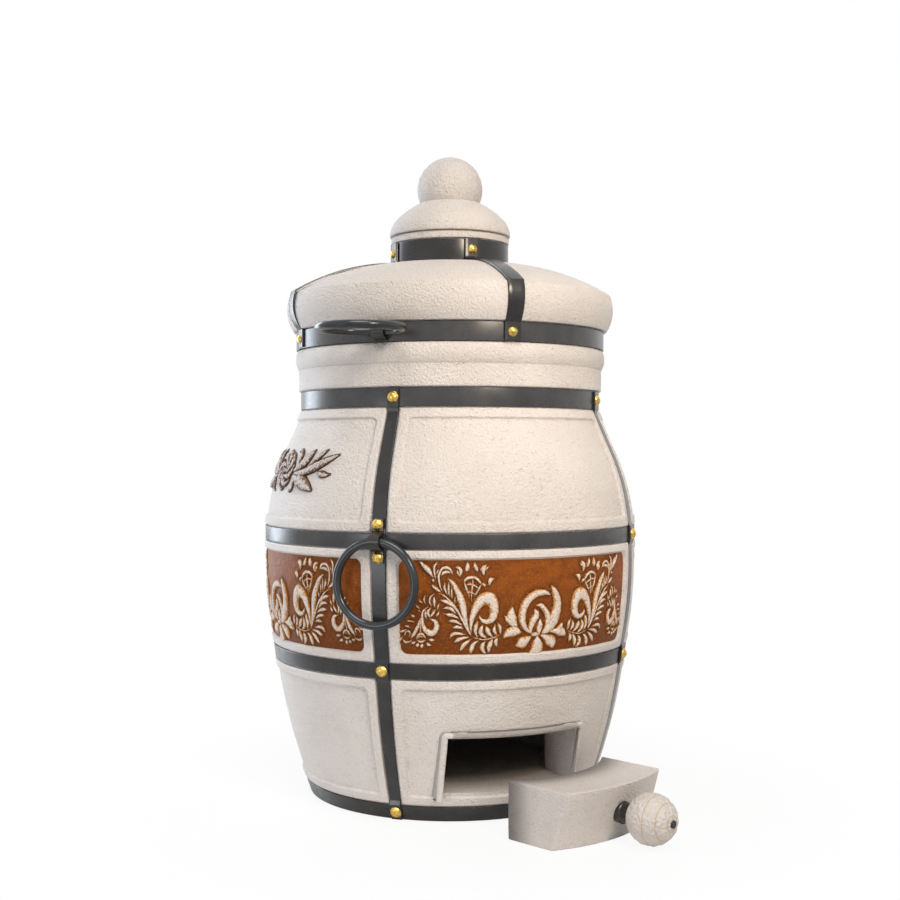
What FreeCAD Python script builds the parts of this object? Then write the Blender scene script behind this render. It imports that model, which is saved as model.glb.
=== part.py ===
import FreeCAD, Part
import math
import os
import re

import Sketcher
from FreeCAD import Placement, Rotation, Vector

# A clay tandoor oven: a jar of fired clay held in a cage of steel hoops and straps, with a hinged
# lid, a vent cap, ring handles, a loose fire grate, and the clay plug of its ash opening standing
# on the floor in front.
#
# Millimetres and degrees. The origin is on the axis of the oven at floor level, +Z is up and the
# ash opening faces -Y. An azimuth counts from the front (-Y) towards +X.
#
# Every layer of the wall follows one line, the bed, on which hoops and straps lie. The bed runs
# through three zones between four hoops, and each zone is an arc with a bulge in its middle.

SIZES = [
    # clay wall: the bed line under the hoops
    ("foot_height", 1.5, "clay foot that shows below the bottom hoop"),
    ("bottom_hoop_radius", 226.3, "bed radius at mid width of the bottom hoop"),
    ("bottom_hoop_lean", 8.5, "how far the bed widens upwards across the bottom hoop"),
    ("bottom_hoop_width", 22.5, "width of the bottom hoop"),
    ("lower_hoop_radius", 280, "bed radius of the lower hoop"),
    ("lower_hoop_lean", 3.4, "how far the bed widens upwards across the lower hoop"),
    ("lower_hoop_level", 228, "height of the lower hoop"),
    ("lower_hoop_width", 22, "width of the lower hoop"),
    ("middle_hoop_radius", 294.7, "bed radius of the middle hoop"),
    ("middle_hoop_level", 415, "height of the middle hoop"),
    ("middle_hoop_width", 22, "width of the middle hoop"),
    ("top_hoop_radius", 238, "bed radius of the top hoop"),
    ("top_hoop_level", 622.3, "height of the top hoop"),
    ("top_hoop_width", 28, "width of the top hoop"),
    ("lower_zone_bulge", 5.7, "bulge of the wall between the bottom and lower hoops"),
    ("belt_bulge", 5.1, "bulge of the wall between the lower and middle hoops"),
    ("upper_zone_bulge", 6, "bulge of the wall between the middle hoop and the shoulder"),
    ("shoulder_level", 547, "height where the wall runs straight towards the neck"),
    ("shoulder_radius", 264, "bed radius there"),
    # clay wall: panels, neck and lip
    ("border_rise", 4, "how far a panel's border stands out from the bed"),
    ("field_depth", 3, "how far a panel's field lies below its border"),
    ("channel_gap", 1.5, "gap between a hoop and the panels beside it"),
    ("strap_channel_angle", 5.0, "angle of the channel in which a strap lies"),
    ("side_border_angle", 2.6, "angle of a panel's border beside a strap"),
    ("lower_zone_border", 12, "height of the upper and lower borders, lower zone"),
    ("belt_border", 10.5, "height of the upper and lower borders, belt"),
    ("upper_zone_border", 13, "height of the upper and lower borders, upper zone"),
    ("panel_corner", 10, "corner radius of the fields"),
    ("relief_panel_thickness", 5, "thickness of the glazed relief panels"),
    ("neck_radius", 244.5, "outer radius of the neck"),
    ("lip_level", 703, "height of the lip on which the lid sits"),
    ("lip_height", 31, "height of the rounded lip"),
    ("lip_edge_radius", 246.5, "radius of the lip at its edges"),
    ("lip_bulge", 3.3, "how far the rounded lip bulges past its edges"),
    # hollow inside
    ("chamber_radius", 170, "radius of the ash chamber"),
    ("ledge_level", 160, "height of the ledge that carries the fire grate"),
    ("ledge_width", 25, "width of the ledge"),
    ("wall_thickness", 51, "wall at the belly of the fire pot"),
    ("mouth_wall", 56, "wall at the mouth"),
    ("pot_bulge", 12, "bulge of the fire pot between ledge and belly, and belly and mouth"),
    # ash opening, its surround and its plug
    ("sill_level", 46, "height of the sill of the ash opening"),
    ("opening_height", 86, "height of the ash opening"),
    ("opening_width", 211, "width of the ash opening"),
    ("surround_leg_width", 8, "width of the legs of the surround"),
    ("surround_lintel_height", 8, "height of the lintel of the surround"),
    ("surround_leg_drop", 9, "how far the legs run down past the sill"),
    ("surround_rise", 9, "how far the surround stands out from the field at its lintel"),
    ("surround_toe_rise", 17, "how far the surround stands out at the toe of its legs"),
    ("plug_clearance", 1.5, "gap between the plug and each side of the opening"),
    ("plug_shift", 1.6, "where the plug stands: sideways"),
    ("plug_pull", 154, "where the plug stands: how far it is pulled out to the front"),
    ("plug_turn", 22.2, "where the plug stands: turn about the oven's axis"),
    ("plug_knob_radius", 36, "radius of the turned knob of the plug"),
    ("plug_neck_length", 21, "length of the steel ferrule between plug and knob"),
    ("plug_neck_radius", 15, "radius of the ferrule"),
    ("plug_bolt_radius", 5.5, "radius of the bolt through knob and ferrule"),
    ("plug_bolt_reach", 40, "how deep the bolt goes into the plug"),
    ("plug_bolt_end", 1.5, "how far the bolt's end stands out of the knob"),
    # hoops, straps and rivets of the body
    ("hoop_thickness", 3.5, "thickness of the hoops"),
    ("strap_thickness", 3, "thickness of the straps"),
    ("strap_angle", 4.2, "angle that a strap covers, so it is widest at the belly"),
    ("strap_jog", 5, "height over which a strap steps out to pass over a hoop"),
    ("strap_root", 8, "how deep the straps are drawn into the clay before they are trimmed"),
    ("cage_turn", 2.6, "turn of the straps against the middle between the ash opening's sides"),
    ("rivet_radius", 8.75, "radius of the domed rivet heads"),
    ("rivet_dome", 4.8, "height of the rivet heads"),
    ("rivet_shank_radius", 3, "radius of the rivet shanks"),
    ("rivet_shank_length", 24, "length of the rivet shanks below the head"),
    # clips and rings
    ("bar_radius", 6.2, "radius of the round bar of the rings"),
    ("ring_radius", 59.6, "radius of the rings, to the middle of the bar"),
    ("bore_play", 1.0, "how much wider the bore of a clip is than the bar, radially"),
    ("clip_thickness", 3, "thickness of the clips"),
    ("clip_width", 17, "width of the clips on the body"),
    ("clip_tab", 17, "height of each riveted tab of a clip"),
    ("clip_slope", 6, "height over which a clip slopes from tab to loop"),
    ("clip_web", 1, "metal between a clip's bore and what it sits on"),
    ("clip_wrap_angle", 60, "angle at which the clip's slope meets its loop"),
    ("lid_clip_width", 20, "width of the clip on the lid band"),
    ("lid_clip_slope", 3, "height over which the lid's clip slopes from tab to loop"),
    ("lid_clip_tab", 2, "height of the tabs of the clip on the lid band"),
    # lid
    ("seat_gap", 0.3, "gap between the lip and the lid"),
    ("lid_turn", -1, "turn of the lid against the ash opening"),
    ("lid_band_radius", 245, "inner radius of the lid band"),
    ("lid_band_width", 29, "width of the lid band"),
    ("lid_skirt_radius", 253, "radius of the dome just above the lid band"),
    ("lid_shoulder_level", 790, "height of the crease between shoulder and dome"),
    ("lid_shoulder_radius", 259.5, "radius of the dome at the crease"),
    ("lid_shoulder_bulge", 7, "bulge of the shoulder below the crease"),
    ("lid_dome_bulge", 14.5, "rise of the dome above the straight line from crease to neck"),
    ("lid_wall", 39, "thickness of the lid"),
    ("lid_hollow_height", 48, "height of the straight part of the lid's hollow"),
    ("lid_hollow_draft", 7, "how far that part widens upwards"),
    ("neck_band_level", 846.5, "height of the lower edge of the neck band"),
    ("neck_band_radius", 91.2, "inner radius of the neck band"),
    ("neck_band_width", 29, "width of the neck band"),
    ("neck_foot_reach", 9, "how far the dome's upper edge reaches past the neck band's bed"),
    ("collar_radius", 96.8, "radius of the collar above the neck band"),
    ("collar_height", 11, "height of the collar"),
    ("vent_radius", 62, "radius of the vent through the lid"),
    ("lid_strap_width", 26, "width of the straps of the lid"),
    ("lid_rivet_radius", 7.5, "radius of the rivet heads on the lid"),
    # cap and knob
    ("cap_spigot_depth", 22, "how deep the cap reaches into the vent"),
    ("cap_clearance", 1.5, "gap between the cap's spigot and the vent"),
    ("cap_rim_height", 4, "height of the cap's rim"),
    ("cap_crease_level", 24, "height of the cap's crease above its rim's lower edge"),
    ("cap_crease_radius", 90.6, "radius of the cap at its crease"),
    ("cap_height", 56, "height of the cap"),
    ("cap_top_radius", 50, "radius of the cap's flat top"),
    ("cap_bulge", 4.5, "bulge of the cap between crease and top"),
    ("knob_radius", 53, "radius of the ball knob"),
    ("knob_sink", 29.7, "how far the ball is cut off to sit on the cap"),
    # hinge
    ("hinge_azimuth", 134, "azimuth of the hinge"),
    ("hinge_reach", 262, "distance of the pin from the axis of the oven"),
    ("hinge_rise", 3, "height of the pin above the lip"),
    ("hinge_width", 56, "width of the hinge"),
    ("knuckle_radius", 8, "radius of the knuckles"),
    ("knuckle_width", 20, "width of the lid's knuckle"),
    ("knuckle_gap", 0.6, "gap between neighbouring knuckles"),
    ("pin_radius", 4, "radius of the hinge pin"),
    ("pin_clearance", 0.1, "radial gap between the pin and the lid's knuckle"),
    ("pin_overhang", 3, "how far the pin stands out at each end"),
    ("hinge_plate", 4.5, "thickness of the hinge's plates"),
    ("hinge_rivet_spread", 17, "distance of the hinge's rivets from its middle"),
    ("lug_foot_height", 30, "height of the lug's foot on the neck"),
    # grate
    ("grate_radius", 180, "radius of the fire grate"),
    ("grate_thickness", 10, "thickness of the fire grate"),
    ("grate_rim", 13, "width of the grate's rim"),
    ("grate_bar", 9, "width of the grate's bars"),
    ("grate_pitch", 24, "distance from bar to bar"),
]
NAMES = {alias for alias, size, note in SIZES}
OUTSIDE = "2 * middle_hoop_radius"      # how far from the axis the cutting tools reach
SLIVER = 1e-6                           # lengths below this count as nothing
QUARTERS = (0, 90, 180, 270)

DOC = FreeCAD.newDocument("clay_tandoor_oven")
SHEET = DOC.addObject("Spreadsheet::Sheet", "Sizes")
for row, (alias, size, note) in enumerate(SIZES, start=1):
    SHEET.set(f"A{row}", note)
    SHEET.set(f"B{row}", str(size))
    SHEET.setAlias(f"B{row}", alias)
DOC.recompute()

PARTS = []          # the sub-parts in the order in which they are exported


# ---- helpers ----------------------------------------------------------------------------------

def bound(text):
    """The text as an expression on the sheet: each size's name gets the sheet's name before it."""
    return re.sub(r"[a-z_]+", lambda m: f"Sizes.{m[0]}" if m[0] in NAMES else m[0], str(text))


def value(text):
    """What the text comes to now."""
    return float(SHEET.evalExpression(bound(text)))


def bind(item, prop, text):
    """Tie a property to the sheet."""
    item.setExpression(prop, bound(text))


def turn_to(item, azimuth):
    """Turn an object that is drawn towards +X so that it looks towards an azimuth."""
    item.Placement = Placement(Vector(), Rotation(Vector(0, 0, 1), 0))
    bind(item, "Placement.Rotation.Angle", f"{azimuth} - 90")


def on(zone, out, up):
    """Point of an outline at a height on a zone's arc, moved out from the bed."""
    return {"zone": zone, "out": out, "up": up}


def zone_pegs(point):
    """Three points that lie on the arc of a point made by on(): lower end, middle, upper end."""
    low_across, low, high_across, high, bulge = point["zone"]
    out = point["out"]
    return [(f"{low_across} + {out}", low),
            (f"({low_across} + {high_across}) / 2 + {bulge} + {out}", f"({low} + {high}) / 2"),
            (f"{high_across} + {out}", high)]


def arc_across(point, up):
    """Distance from the axis at a height on the arc of a point made by on()."""
    low, middle, high = [Vector(value(across), value(height), 0)
                         for across, height in zone_pegs(point)]
    circle = Part.Arc(low, middle, high).toShape().Curve
    side = math.copysign(1, middle.x - circle.Center.x)
    return circle.Center.x + side * math.sqrt(circle.Radius ** 2 - (up - circle.Center.y) ** 2)


def spot_of(point):
    """Where a point of an outline lies now."""
    if isinstance(point, dict):
        up = value(point["up"])
        return Vector(arc_across(point, up), up, 0)
    return Vector(value(point[0]), value(point[1]), 0)


def share_arc(here, following):
    """Whether two points of an outline, made by on(), lie on one arc."""
    return (isinstance(here, dict) and isinstance(following, dict)
            and here["zone"] == following["zone"] and here["out"] == following["out"])


def outline(body, points):
    """Closed sketch on the body's XZ plane, across = distance from the axis, up = height.

    A point is (across, up), or (across, up, via across, via up) where the stretch that ends in it
    is an arc through the via point, or made by on(). Two points made by on() in a row are joined
    by their zone's arc.
    """
    sketch = body.newObject("Sketcher::SketchObject", "Outline")
    plane = [item for item in body.Origin.OriginFeatures if item.Role == "XZ_Plane"][0]
    sketch.AttachmentSupport = [(plane, "")]
    sketch.MapMode = "FlatFace"
    spots = [spot_of(point) for point in points]

    def fix(element, kind, text):
        number = sketch.addConstraint(Sketcher.Constraint(kind, -1, 1, *element, value(text)))
        if NAMES & set(re.findall(r"[a-z_]+", str(text))):
            bind(sketch, f"Constraints[{number}]", text)

    def add_arc(start, via, end, pegs):
        """Arc that runs anticlockwise, tied to its pegs; gives the elements at start and end."""
        forward = (via - start).cross(end - via).z > 0
        number = sketch.addGeometry(Part.Arc(start, via, end) if forward
                                    else Part.Arc(end, via, start))
        for across, up in pegs:
            peg = sketch.addGeometry(Part.Point(Vector(value(across), value(up), 0)), True)
            fix((peg, 1), "DistanceX", across)
            fix((peg, 1), "DistanceY", up)
            sketch.addConstraint(Sketcher.Constraint("PointOnObject", peg, 1, number))
        return ((number, 1), (number, 2)) if forward else ((number, 2), (number, 1))

    ends = []
    for index, start in enumerate(spots):
        after = (index + 1) % len(points)
        here, following, end = points[index], points[after], spots[after]
        if share_arc(here, following):
            middle = (start.y + end.y) / 2
            ends.append(add_arc(start, Vector(arc_across(here, middle), middle, 0), end,
                                zone_pegs(here)))
        elif len(following) == 4:
            via = Vector(value(following[2]), value(following[3]), 0)
            ends.append(add_arc(start, via, end, [following[2:]]))
        else:
            line = sketch.addGeometry(Part.LineSegment(start, end))
            ends.append(((line, 1), (line, 2)))
    for index, point in enumerate(points):
        first = ends[index][0]
        sketch.addConstraint(Sketcher.Constraint("Coincident", *ends[index - 1][1], *first))
        if isinstance(point, dict):
            fix(first, "DistanceY", point["up"])
        else:
            fix(first, "DistanceX", point[0])
            fix(first, "DistanceY", point[1])
    return sketch


def new_body(label):
    """Empty body."""
    body = DOC.addObject("PartDesign::Body", label)
    body.Label = label
    return body


def turned(label, points, angle=None, azimuth=None):
    """Body revolved about the oven's axis, all round or over an angle centred on an azimuth."""
    body = new_body(label)
    sketch = outline(body, points)
    revolution = body.newObject("PartDesign::Revolution", "Turned")
    revolution.Profile = sketch
    revolution.ReferenceAxis = (sketch, ["V_Axis"])
    if angle is not None:
        revolution.Midplane = True
        bind(revolution, "Angle", angle)
        turn_to(body, azimuth)
    body.Tip = revolution
    return body


def plate(label, points, width, azimuth):
    """Body cut to an outline seen from the side, with an even width, centred on an azimuth."""
    body = new_body(label)
    sketch = outline(body, points)
    pad = body.newObject("PartDesign::Pad", "Plate")
    pad.Profile = sketch
    pad.SideType = "Symmetric"
    bind(pad, "Length", width)
    body.Tip = pad
    turn_to(body, azimuth)
    return body


def box(label, length, width, height, low_x, low_y, low_z):
    """Box by its lengths along X, Y and Z and its lowest corner."""
    item = DOC.addObject("Part::Box", label)
    for prop, text in (("Length", length), ("Width", width), ("Height", height),
                       ("Placement.Base.x", low_x), ("Placement.Base.y", low_y),
                       ("Placement.Base.z", low_z)):
        bind(item, prop, text)
    return item


def directions(azimuth):
    """Unit vectors outwards and along the tangent at an azimuth."""
    heading = math.radians(value(azimuth) - 90)
    return (Vector(math.cos(heading), math.sin(heading), 0),
            Vector(-math.sin(heading), math.cos(heading), 0))


def rod(label, radius, length, across, up, azimuth):
    """Cylinder along the tangent at an azimuth, centred on a point."""
    item = DOC.addObject("Part::Cylinder", label)
    bind(item, "Radius", radius)
    bind(item, "Height", length)
    outward, tangent = directions(azimuth)
    centre = outward * value(across) + Vector(0, 0, value(up))
    item.Placement = Placement(centre - tangent * (value(length) / 2),
                               Rotation(Vector(0, 0, 1), tangent))
    return item


def joined(label, pieces):
    """One solid from overlapping pieces."""
    item = DOC.addObject("Part::MultiFuse", label)
    item.Shapes = pieces
    return item


def grouped(label, pieces):
    """Separate solids that go through the rest of the model together."""
    item = DOC.addObject("Part::Compound", label)
    item.Links = pieces
    return item


def cut(label, base, tool):
    """The base without the tool."""
    item = DOC.addObject("Part::Cut", label)
    item.Base = base
    item.Tool = tool
    return item


def common(label, first, second):
    """What two objects share."""
    item = DOC.addObject("Part::MultiCommon", label)
    item.Shapes = [first, second]
    return item


def shape_of(label, shape):
    """Feature that holds a shape made with Part's own functions."""
    item = DOC.addObject("Part::Feature", label)
    item.Shape = shape
    return item


def part(name, item):
    """Take an object into the list of sub-parts under its name."""
    item.Label = name
    PARTS.append((name, item))
    return item


# ---- the bed line -----------------------------------------------------------------------------

def hoop_edges(level, width):
    """Heights of the lower and upper edge of a hoop."""
    return (f"{level} - {width} / 2", f"{level} + {width} / 2")


BOTTOM_EDGES = ("foot_height", "foot_height + bottom_hoop_width")
LOWER_EDGES = hoop_edges("lower_hoop_level", "lower_hoop_width")
MIDDLE_EDGES = hoop_edges("middle_hoop_level", "middle_hoop_width")
TOP_EDGES = hoop_edges("top_hoop_level", "top_hoop_width")
FOOT_RADIUS = "bottom_hoop_radius - bottom_hoop_lean / 2"
NECK_FOOT = f"{TOP_EDGES[1]} + channel_gap"
SHOULDER_TOP = ("top_hoop_radius", f"{TOP_EDGES[0]} - channel_gap")
FIELD = "border_rise - field_depth"

# a zone: lower radius, lower height, upper radius, upper height, bulge
LOWER_ZONE = ("bottom_hoop_radius + bottom_hoop_lean / 2", f"{BOTTOM_EDGES[1]} + channel_gap",
              "lower_hoop_radius - lower_hoop_lean / 2", f"{LOWER_EDGES[0]} - channel_gap",
              "lower_zone_bulge")
BELT = ("lower_hoop_radius + lower_hoop_lean / 2", f"{LOWER_EDGES[1]} + channel_gap",
        "middle_hoop_radius", f"{MIDDLE_EDGES[0]} - channel_gap", "belt_bulge")
UPPER_ZONE = ("middle_hoop_radius", f"{MIDDLE_EDGES[1]} + channel_gap",
              "shoulder_radius", "shoulder_level", "upper_zone_bulge")


def whole_arc(zone, out):
    """A zone's arc from its lower to its upper end, moved out from the bed."""
    return [on(zone, out, zone[1]), on(zone, out, zone[3])]


def straight(low, low_up, high, high_up, up):
    """Distance from the axis at a height on the straight line between two points."""
    return f"({low}) + (({high}) - ({low})) * (({up}) - ({low_up})) / (({high_up}) - ({low_up}))"


def bed_at_hoop(below, above, edge):
    """Bed radius at a hoop's edge, between the zones below and above it."""
    return straight(below[2], below[3], above[0], above[1], edge)


# each hoop: lower edge, upper edge, bed radius at each
HOOPS = {
    "hoop_bottom": (*BOTTOM_EDGES, FOOT_RADIUS,
                    straight(FOOT_RADIUS, "foot_height", LOWER_ZONE[0], LOWER_ZONE[1],
                             BOTTOM_EDGES[1])),
    "hoop_lower": (*LOWER_EDGES, bed_at_hoop(LOWER_ZONE, BELT, LOWER_EDGES[0]),
                   bed_at_hoop(LOWER_ZONE, BELT, LOWER_EDGES[1])),
    "hoop_middle": (*MIDDLE_EDGES, "middle_hoop_radius", "middle_hoop_radius"),
    "hoop_top": (*TOP_EDGES, "top_hoop_radius", "top_hoop_radius"),
}
STRAPS = {f"strap_{place}": f"cage_turn - 45 + {quarter}" for place, quarter in
          zip(("front_left", "front_right", "back_right", "back_left"), QUARTERS)}
PANELS = {place: f"cage_turn + {quarter}" for place, quarter in
          zip(("front", "right", "back", "left"), QUARTERS)}
RING_STRAPS = {"front": "strap_front_left", "back": "strap_back_right"}
CROSSING = "hoop_thickness + strap_thickness"

MOUTH_RADIUS = "neck_radius - mouth_wall"
POT_BASE_RADIUS = "chamber_radius + ledge_width"
POT_BELLY_RADIUS = "middle_hoop_radius - wall_thickness"
LIP_FOOT = "lip_level - lip_height"
POT_LOWER = (POT_BASE_RADIUS, "ledge_level", POT_BELLY_RADIUS, "middle_hoop_level", "pot_bulge")
POT_UPPER = (POT_BELLY_RADIUS, "middle_hoop_level", MOUTH_RADIUS, NECK_FOOT, "pot_bulge")


# ---- clay jar ---------------------------------------------------------------------------------

def base_ring():
    """Lowest ring of the jar before its panels, from the floor to the seam under the lower hoop."""
    return turned("base_ring", [
        ("chamber_radius", "0"), (FOOT_RADIUS, "0"), (FOOT_RADIUS, "foot_height"), LOWER_ZONE[:2],
        *whole_arc(LOWER_ZONE, "border_rise"), LOWER_ZONE[2:4],
        ("lower_hoop_radius", "lower_hoop_level"), on(POT_LOWER, "0", "lower_hoop_level"),
        on(POT_LOWER, "0", "ledge_level"), ("chamber_radius", "ledge_level")])


def barrel_ring():
    """The belly and the shoulder before their panels, from the lower hoop to the top hoop."""
    return turned("barrel_ring", [
        ("lower_hoop_radius", "lower_hoop_level"), BELT[:2], *whole_arc(BELT, "border_rise"),
        BELT[2:4], UPPER_ZONE[:2], *whole_arc(UPPER_ZONE, "border_rise"),
        (f"{SHOULDER_TOP[0]} + border_rise", SHOULDER_TOP[1]), SHOULDER_TOP,
        ("top_hoop_radius", "top_hoop_level"), on(POT_UPPER, "0", "top_hoop_level"),
        on(POT_UPPER, "0", "middle_hoop_level"), on(POT_LOWER, "0", "middle_hoop_level"),
        on(POT_LOWER, "0", "lower_hoop_level")])


def neck_ring():
    """The neck with its rounded lip, above the seam under the top hoop."""
    return turned("neck_ring", [
        ("top_hoop_radius", "top_hoop_level"), ("top_hoop_radius", NECK_FOOT),
        ("neck_radius", NECK_FOOT), ("neck_radius", LIP_FOOT), ("lip_edge_radius", LIP_FOOT),
        ("lip_edge_radius", "lip_level",
         "lip_edge_radius + lip_bulge", "lip_level - lip_height / 2"),
        (MOUTH_RADIUS, "lip_level"), on(POT_UPPER, "0", NECK_FOOT),
        on(POT_UPPER, "0", "top_hoop_level")])


def round_corners(body):
    """Round the four short edges of a sector that run out from the axis."""
    solid = body.Tip
    DOC.recompute()
    names = []
    for number, edge in enumerate(solid.Shape.Edges, start=1):
        heights = [vertex.Point.z for vertex in edge.Vertexes]
        if isinstance(edge.Curve, Part.Line) and abs(heights[0] - heights[-1]) < SLIVER:
            names.append(f"Edge{number}")
    fillet = body.newObject("PartDesign::Fillet", "Corners")
    fillet.Base = (solid, names)
    bind(fillet, "Radius", "panel_corner")
    body.Tip = fillet
    return body


FIELD_ANGLE = "90 - strap_channel_angle - 2 * side_border_angle"


def zone_block(label, zone, border, inner, azimuth, outer=None):
    """Sector of a zone less its borders, from one distance off the bed to another or outside."""
    low, high = f"{zone[1]} + {border}", f"{zone[3]} - {border}"
    if outer is None:
        outer_points = [(OUTSIDE, high), (OUTSIDE, low)]
    else:
        outer_points = [on(zone, outer, high), on(zone, outer, low)]
    points = [on(zone, inner, low), on(zone, inner, high), *outer_points]
    return round_corners(turned(label, points, FIELD_ANGLE, azimuth))


def upper_block(label, azimuth):
    """Cutting tool for the field of an upper panel, over the arc and the straight shoulder."""
    low, high = f"{UPPER_ZONE[1]} + upper_zone_border", f"{SHOULDER_TOP[1]} - upper_zone_border"
    high_bed = straight(UPPER_ZONE[2], UPPER_ZONE[3], *SHOULDER_TOP, high)
    points = [on(UPPER_ZONE, FIELD, low), on(UPPER_ZONE, FIELD, UPPER_ZONE[3]),
              (f"{high_bed} + {FIELD}", high), (OUTSIDE, high), (OUTSIDE, low)]
    return round_corners(turned(label, points, FIELD_ANGLE, azimuth))


def strap_channel(azimuth):
    """Cutting tool for the channel in which a strap lies."""
    points = [(FOOT_RADIUS, "foot_height"), *whole_arc(LOWER_ZONE, "0"), *whole_arc(BELT, "0"),
              *whole_arc(UPPER_ZONE, "0"), SHOULDER_TOP, ("top_hoop_radius", NECK_FOOT),
              (OUTSIDE, NECK_FOOT), (OUTSIDE, "foot_height")]
    return turned("strap_channel", points, "strap_channel_angle", azimuth)


def opening_block():
    """Cutting tool for the ash opening, from outside into the ash chamber."""
    return box("opening", "opening_width", OUTSIDE, "opening_height",
               "-opening_width / 2", f"-({OUTSIDE})", "sill_level")


RELIEF_FLOOR = f"{FIELD} - relief_panel_thickness"


def jar(shanks):
    """The three rings of the jar with channels, fields, pockets and ash opening, and its floor."""
    channels = [strap_channel(azimuth) for azimuth in STRAPS.values()]
    lower = [zone_block("lower_field", LOWER_ZONE, "lower_zone_border", FIELD, azimuth)
             for azimuth in PANELS.values()]
    pockets = [zone_block("pocket", BELT, "belt_border", RELIEF_FLOOR, azimuth)
               for azimuth in PANELS.values()]
    upper = [upper_block("upper_field", azimuth) for azimuth in PANELS.values()]
    base = cut("opened_base", cut("panelled_base", base_ring(), grouped("base_tools", channels + lower)),
               opening_block())
    barrel = cut("panelled_barrel", barrel_ring(), grouped("barrel_tools", channels + pockets + upper))
    for name, ring_of_clay in (("clay_base", base), ("clay_barrel", barrel),
                               ("clay_neck", neck_ring())):
        part(name, cut(name, ring_of_clay, shanks))
    part("floor_slab", turned("floor_slab", [("0", "0"), ("chamber_radius", "0"),
                                             ("chamber_radius", "sill_level"), ("0", "sill_level")]))
    return base


def relief_panels():
    """The four glazed panels that fill the pockets of the belt up to its fields."""
    for place, azimuth in PANELS.items():
        part(f"relief_panel_{place}",
             zone_block("relief_panel", BELT, "belt_border", RELIEF_FLOOR, azimuth, FIELD))


def ash_surround(base):
    """Raised moulding over the top and down both sides of the ash opening."""
    low = "sill_level - surround_leg_drop"
    high = "sill_level + opening_height + surround_lintel_height"
    low_out = f"{arc_across(on(LOWER_ZONE, FIELD, low), value(low)):.4f}"
    high_out = f"{arc_across(on(LOWER_ZONE, FIELD, high), value(high)):.4f}"
    points = [("chamber_radius", low), (f"{low_out} + surround_toe_rise", low),
              (f"{high_out} + surround_rise", high), ("chamber_radius", high)]
    skin = turned("surround_skin", points, "90", "0")
    width = "opening_width + 2 * surround_leg_width"
    outer = box("surround_outer", width, OUTSIDE, f"{high} - ({low})", f"-({width}) / 2",
                f"-({OUTSIDE})", low)
    inner = box("surround_inner", "opening_width", OUTSIDE, "opening_height + surround_leg_drop",
                "-opening_width / 2", f"-({OUTSIDE})", low)
    frame = cut("surround_frame", common("surround_block", skin, outer), inner)
    return part("ash_surround", cut("ash_surround", frame, base))


# ---- steel cage -------------------------------------------------------------------------------

def hoops(shanks):
    """The four hoops, in their channels on the bed."""
    for name, (low, high, low_across, high_across) in HOOPS.items():
        points = [(low_across, low), (f"{low_across} + hoop_thickness", low),
                  (f"{high_across} + hoop_thickness", high), (high_across, high)]
        part(name, cut(name, turned(f"{name}_band", points), shanks))


def strap_face():
    """Outer side of a strap, from its lower to its upper end: it steps out over each hoop."""
    def over(name):
        low, high, low_across, high_across = HOOPS[name]
        return [(f"{low_across} + {CROSSING}", low), (f"{high_across} + {CROSSING}", high)]

    points = over("hoop_bottom")
    stretches = ((LOWER_ZONE, "hoop_bottom", "hoop_lower"), (BELT, "hoop_lower", "hoop_middle"))
    for zone, below, above in stretches:
        points += [on(zone, "strap_thickness", f"{HOOPS[below][1]} + strap_jog"),
                   on(zone, "strap_thickness", f"{HOOPS[above][0]} - strap_jog"), *over(above)]
    last = f"{TOP_EDGES[0]} - strap_jog"
    last_bed = straight(UPPER_ZONE[2], UPPER_ZONE[3], *SHOULDER_TOP, last)
    points += [on(UPPER_ZONE, "strap_thickness", f"{MIDDLE_EDGES[1]} + strap_jog"),
               on(UPPER_ZONE, "strap_thickness", UPPER_ZONE[3]),
               (f"{last_bed} + strap_thickness", last), *over("hoop_top")]
    return points


def strap_back():
    """Inner side of a strap, from its upper to its lower end: on the bed and over each hoop."""
    def over(name):
        low, high, low_across, high_across = HOOPS[name]
        return [(high_across, high), (f"{high_across} + hoop_thickness", high),
                (f"{low_across} + hoop_thickness", low), (low_across, low)]

    def down(zone):
        return [on(zone, "0", zone[3]), on(zone, "0", zone[1])]

    return [*over("hoop_top")[1:], SHOULDER_TOP, *down(UPPER_ZONE), *over("hoop_middle"),
            *down(BELT), *over("hoop_lower"), *down(LOWER_ZONE), *over("hoop_bottom")[:3]]


def straps(shanks):
    """The four upright straps, which follow the bed and pass over the hoops."""
    for name, azimuth in STRAPS.items():
        blank = turned("strap_blank", strap_face() + strap_back(), "strap_angle", azimuth)
        part(name, cut(name, blank, shanks))


def clip_outline(face, hold, level, tab, slope):
    """Side view of a clip: tab, slope, loop round the bore, slope and tab.

    face = outer face of the tabs, hold = distance of the bore from the axis.
    """
    loop = "(bar_radius + bore_play + clip_thickness)"
    reach, rise = f"{loop} * cos(clip_wrap_angle * 1deg)", f"{loop} * sin(clip_wrap_angle * 1deg)"
    root = f"{face} - clip_thickness - strap_root"
    return [(root, f"{level} - {rise} - {slope} - {tab}"), (face, f"{level} - {rise} - {slope} - {tab}"),
            (face, f"{level} - {rise} - {slope}"), (f"{hold} + {reach}", f"{level} - {rise}"),
            (f"{hold} + {reach}", f"{level} + {rise}", f"{hold} + {loop}", level),
            (face, f"{level} + {rise} + {slope}"), (face, f"{level} + {rise} + {slope} + {tab}"),
            (root, f"{level} + {rise} + {slope} + {tab}")]


CLIP_FACE = f"middle_hoop_radius + {CROSSING}"
CLIP_HOLD = f"{CLIP_FACE} + clip_web + bar_radius + bore_play"
CLIP_RIVET_OFFSET = ("((bar_radius + bore_play + clip_thickness) * sin(clip_wrap_angle * 1deg)"
                     " + clip_slope + clip_tab / 2)")


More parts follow.
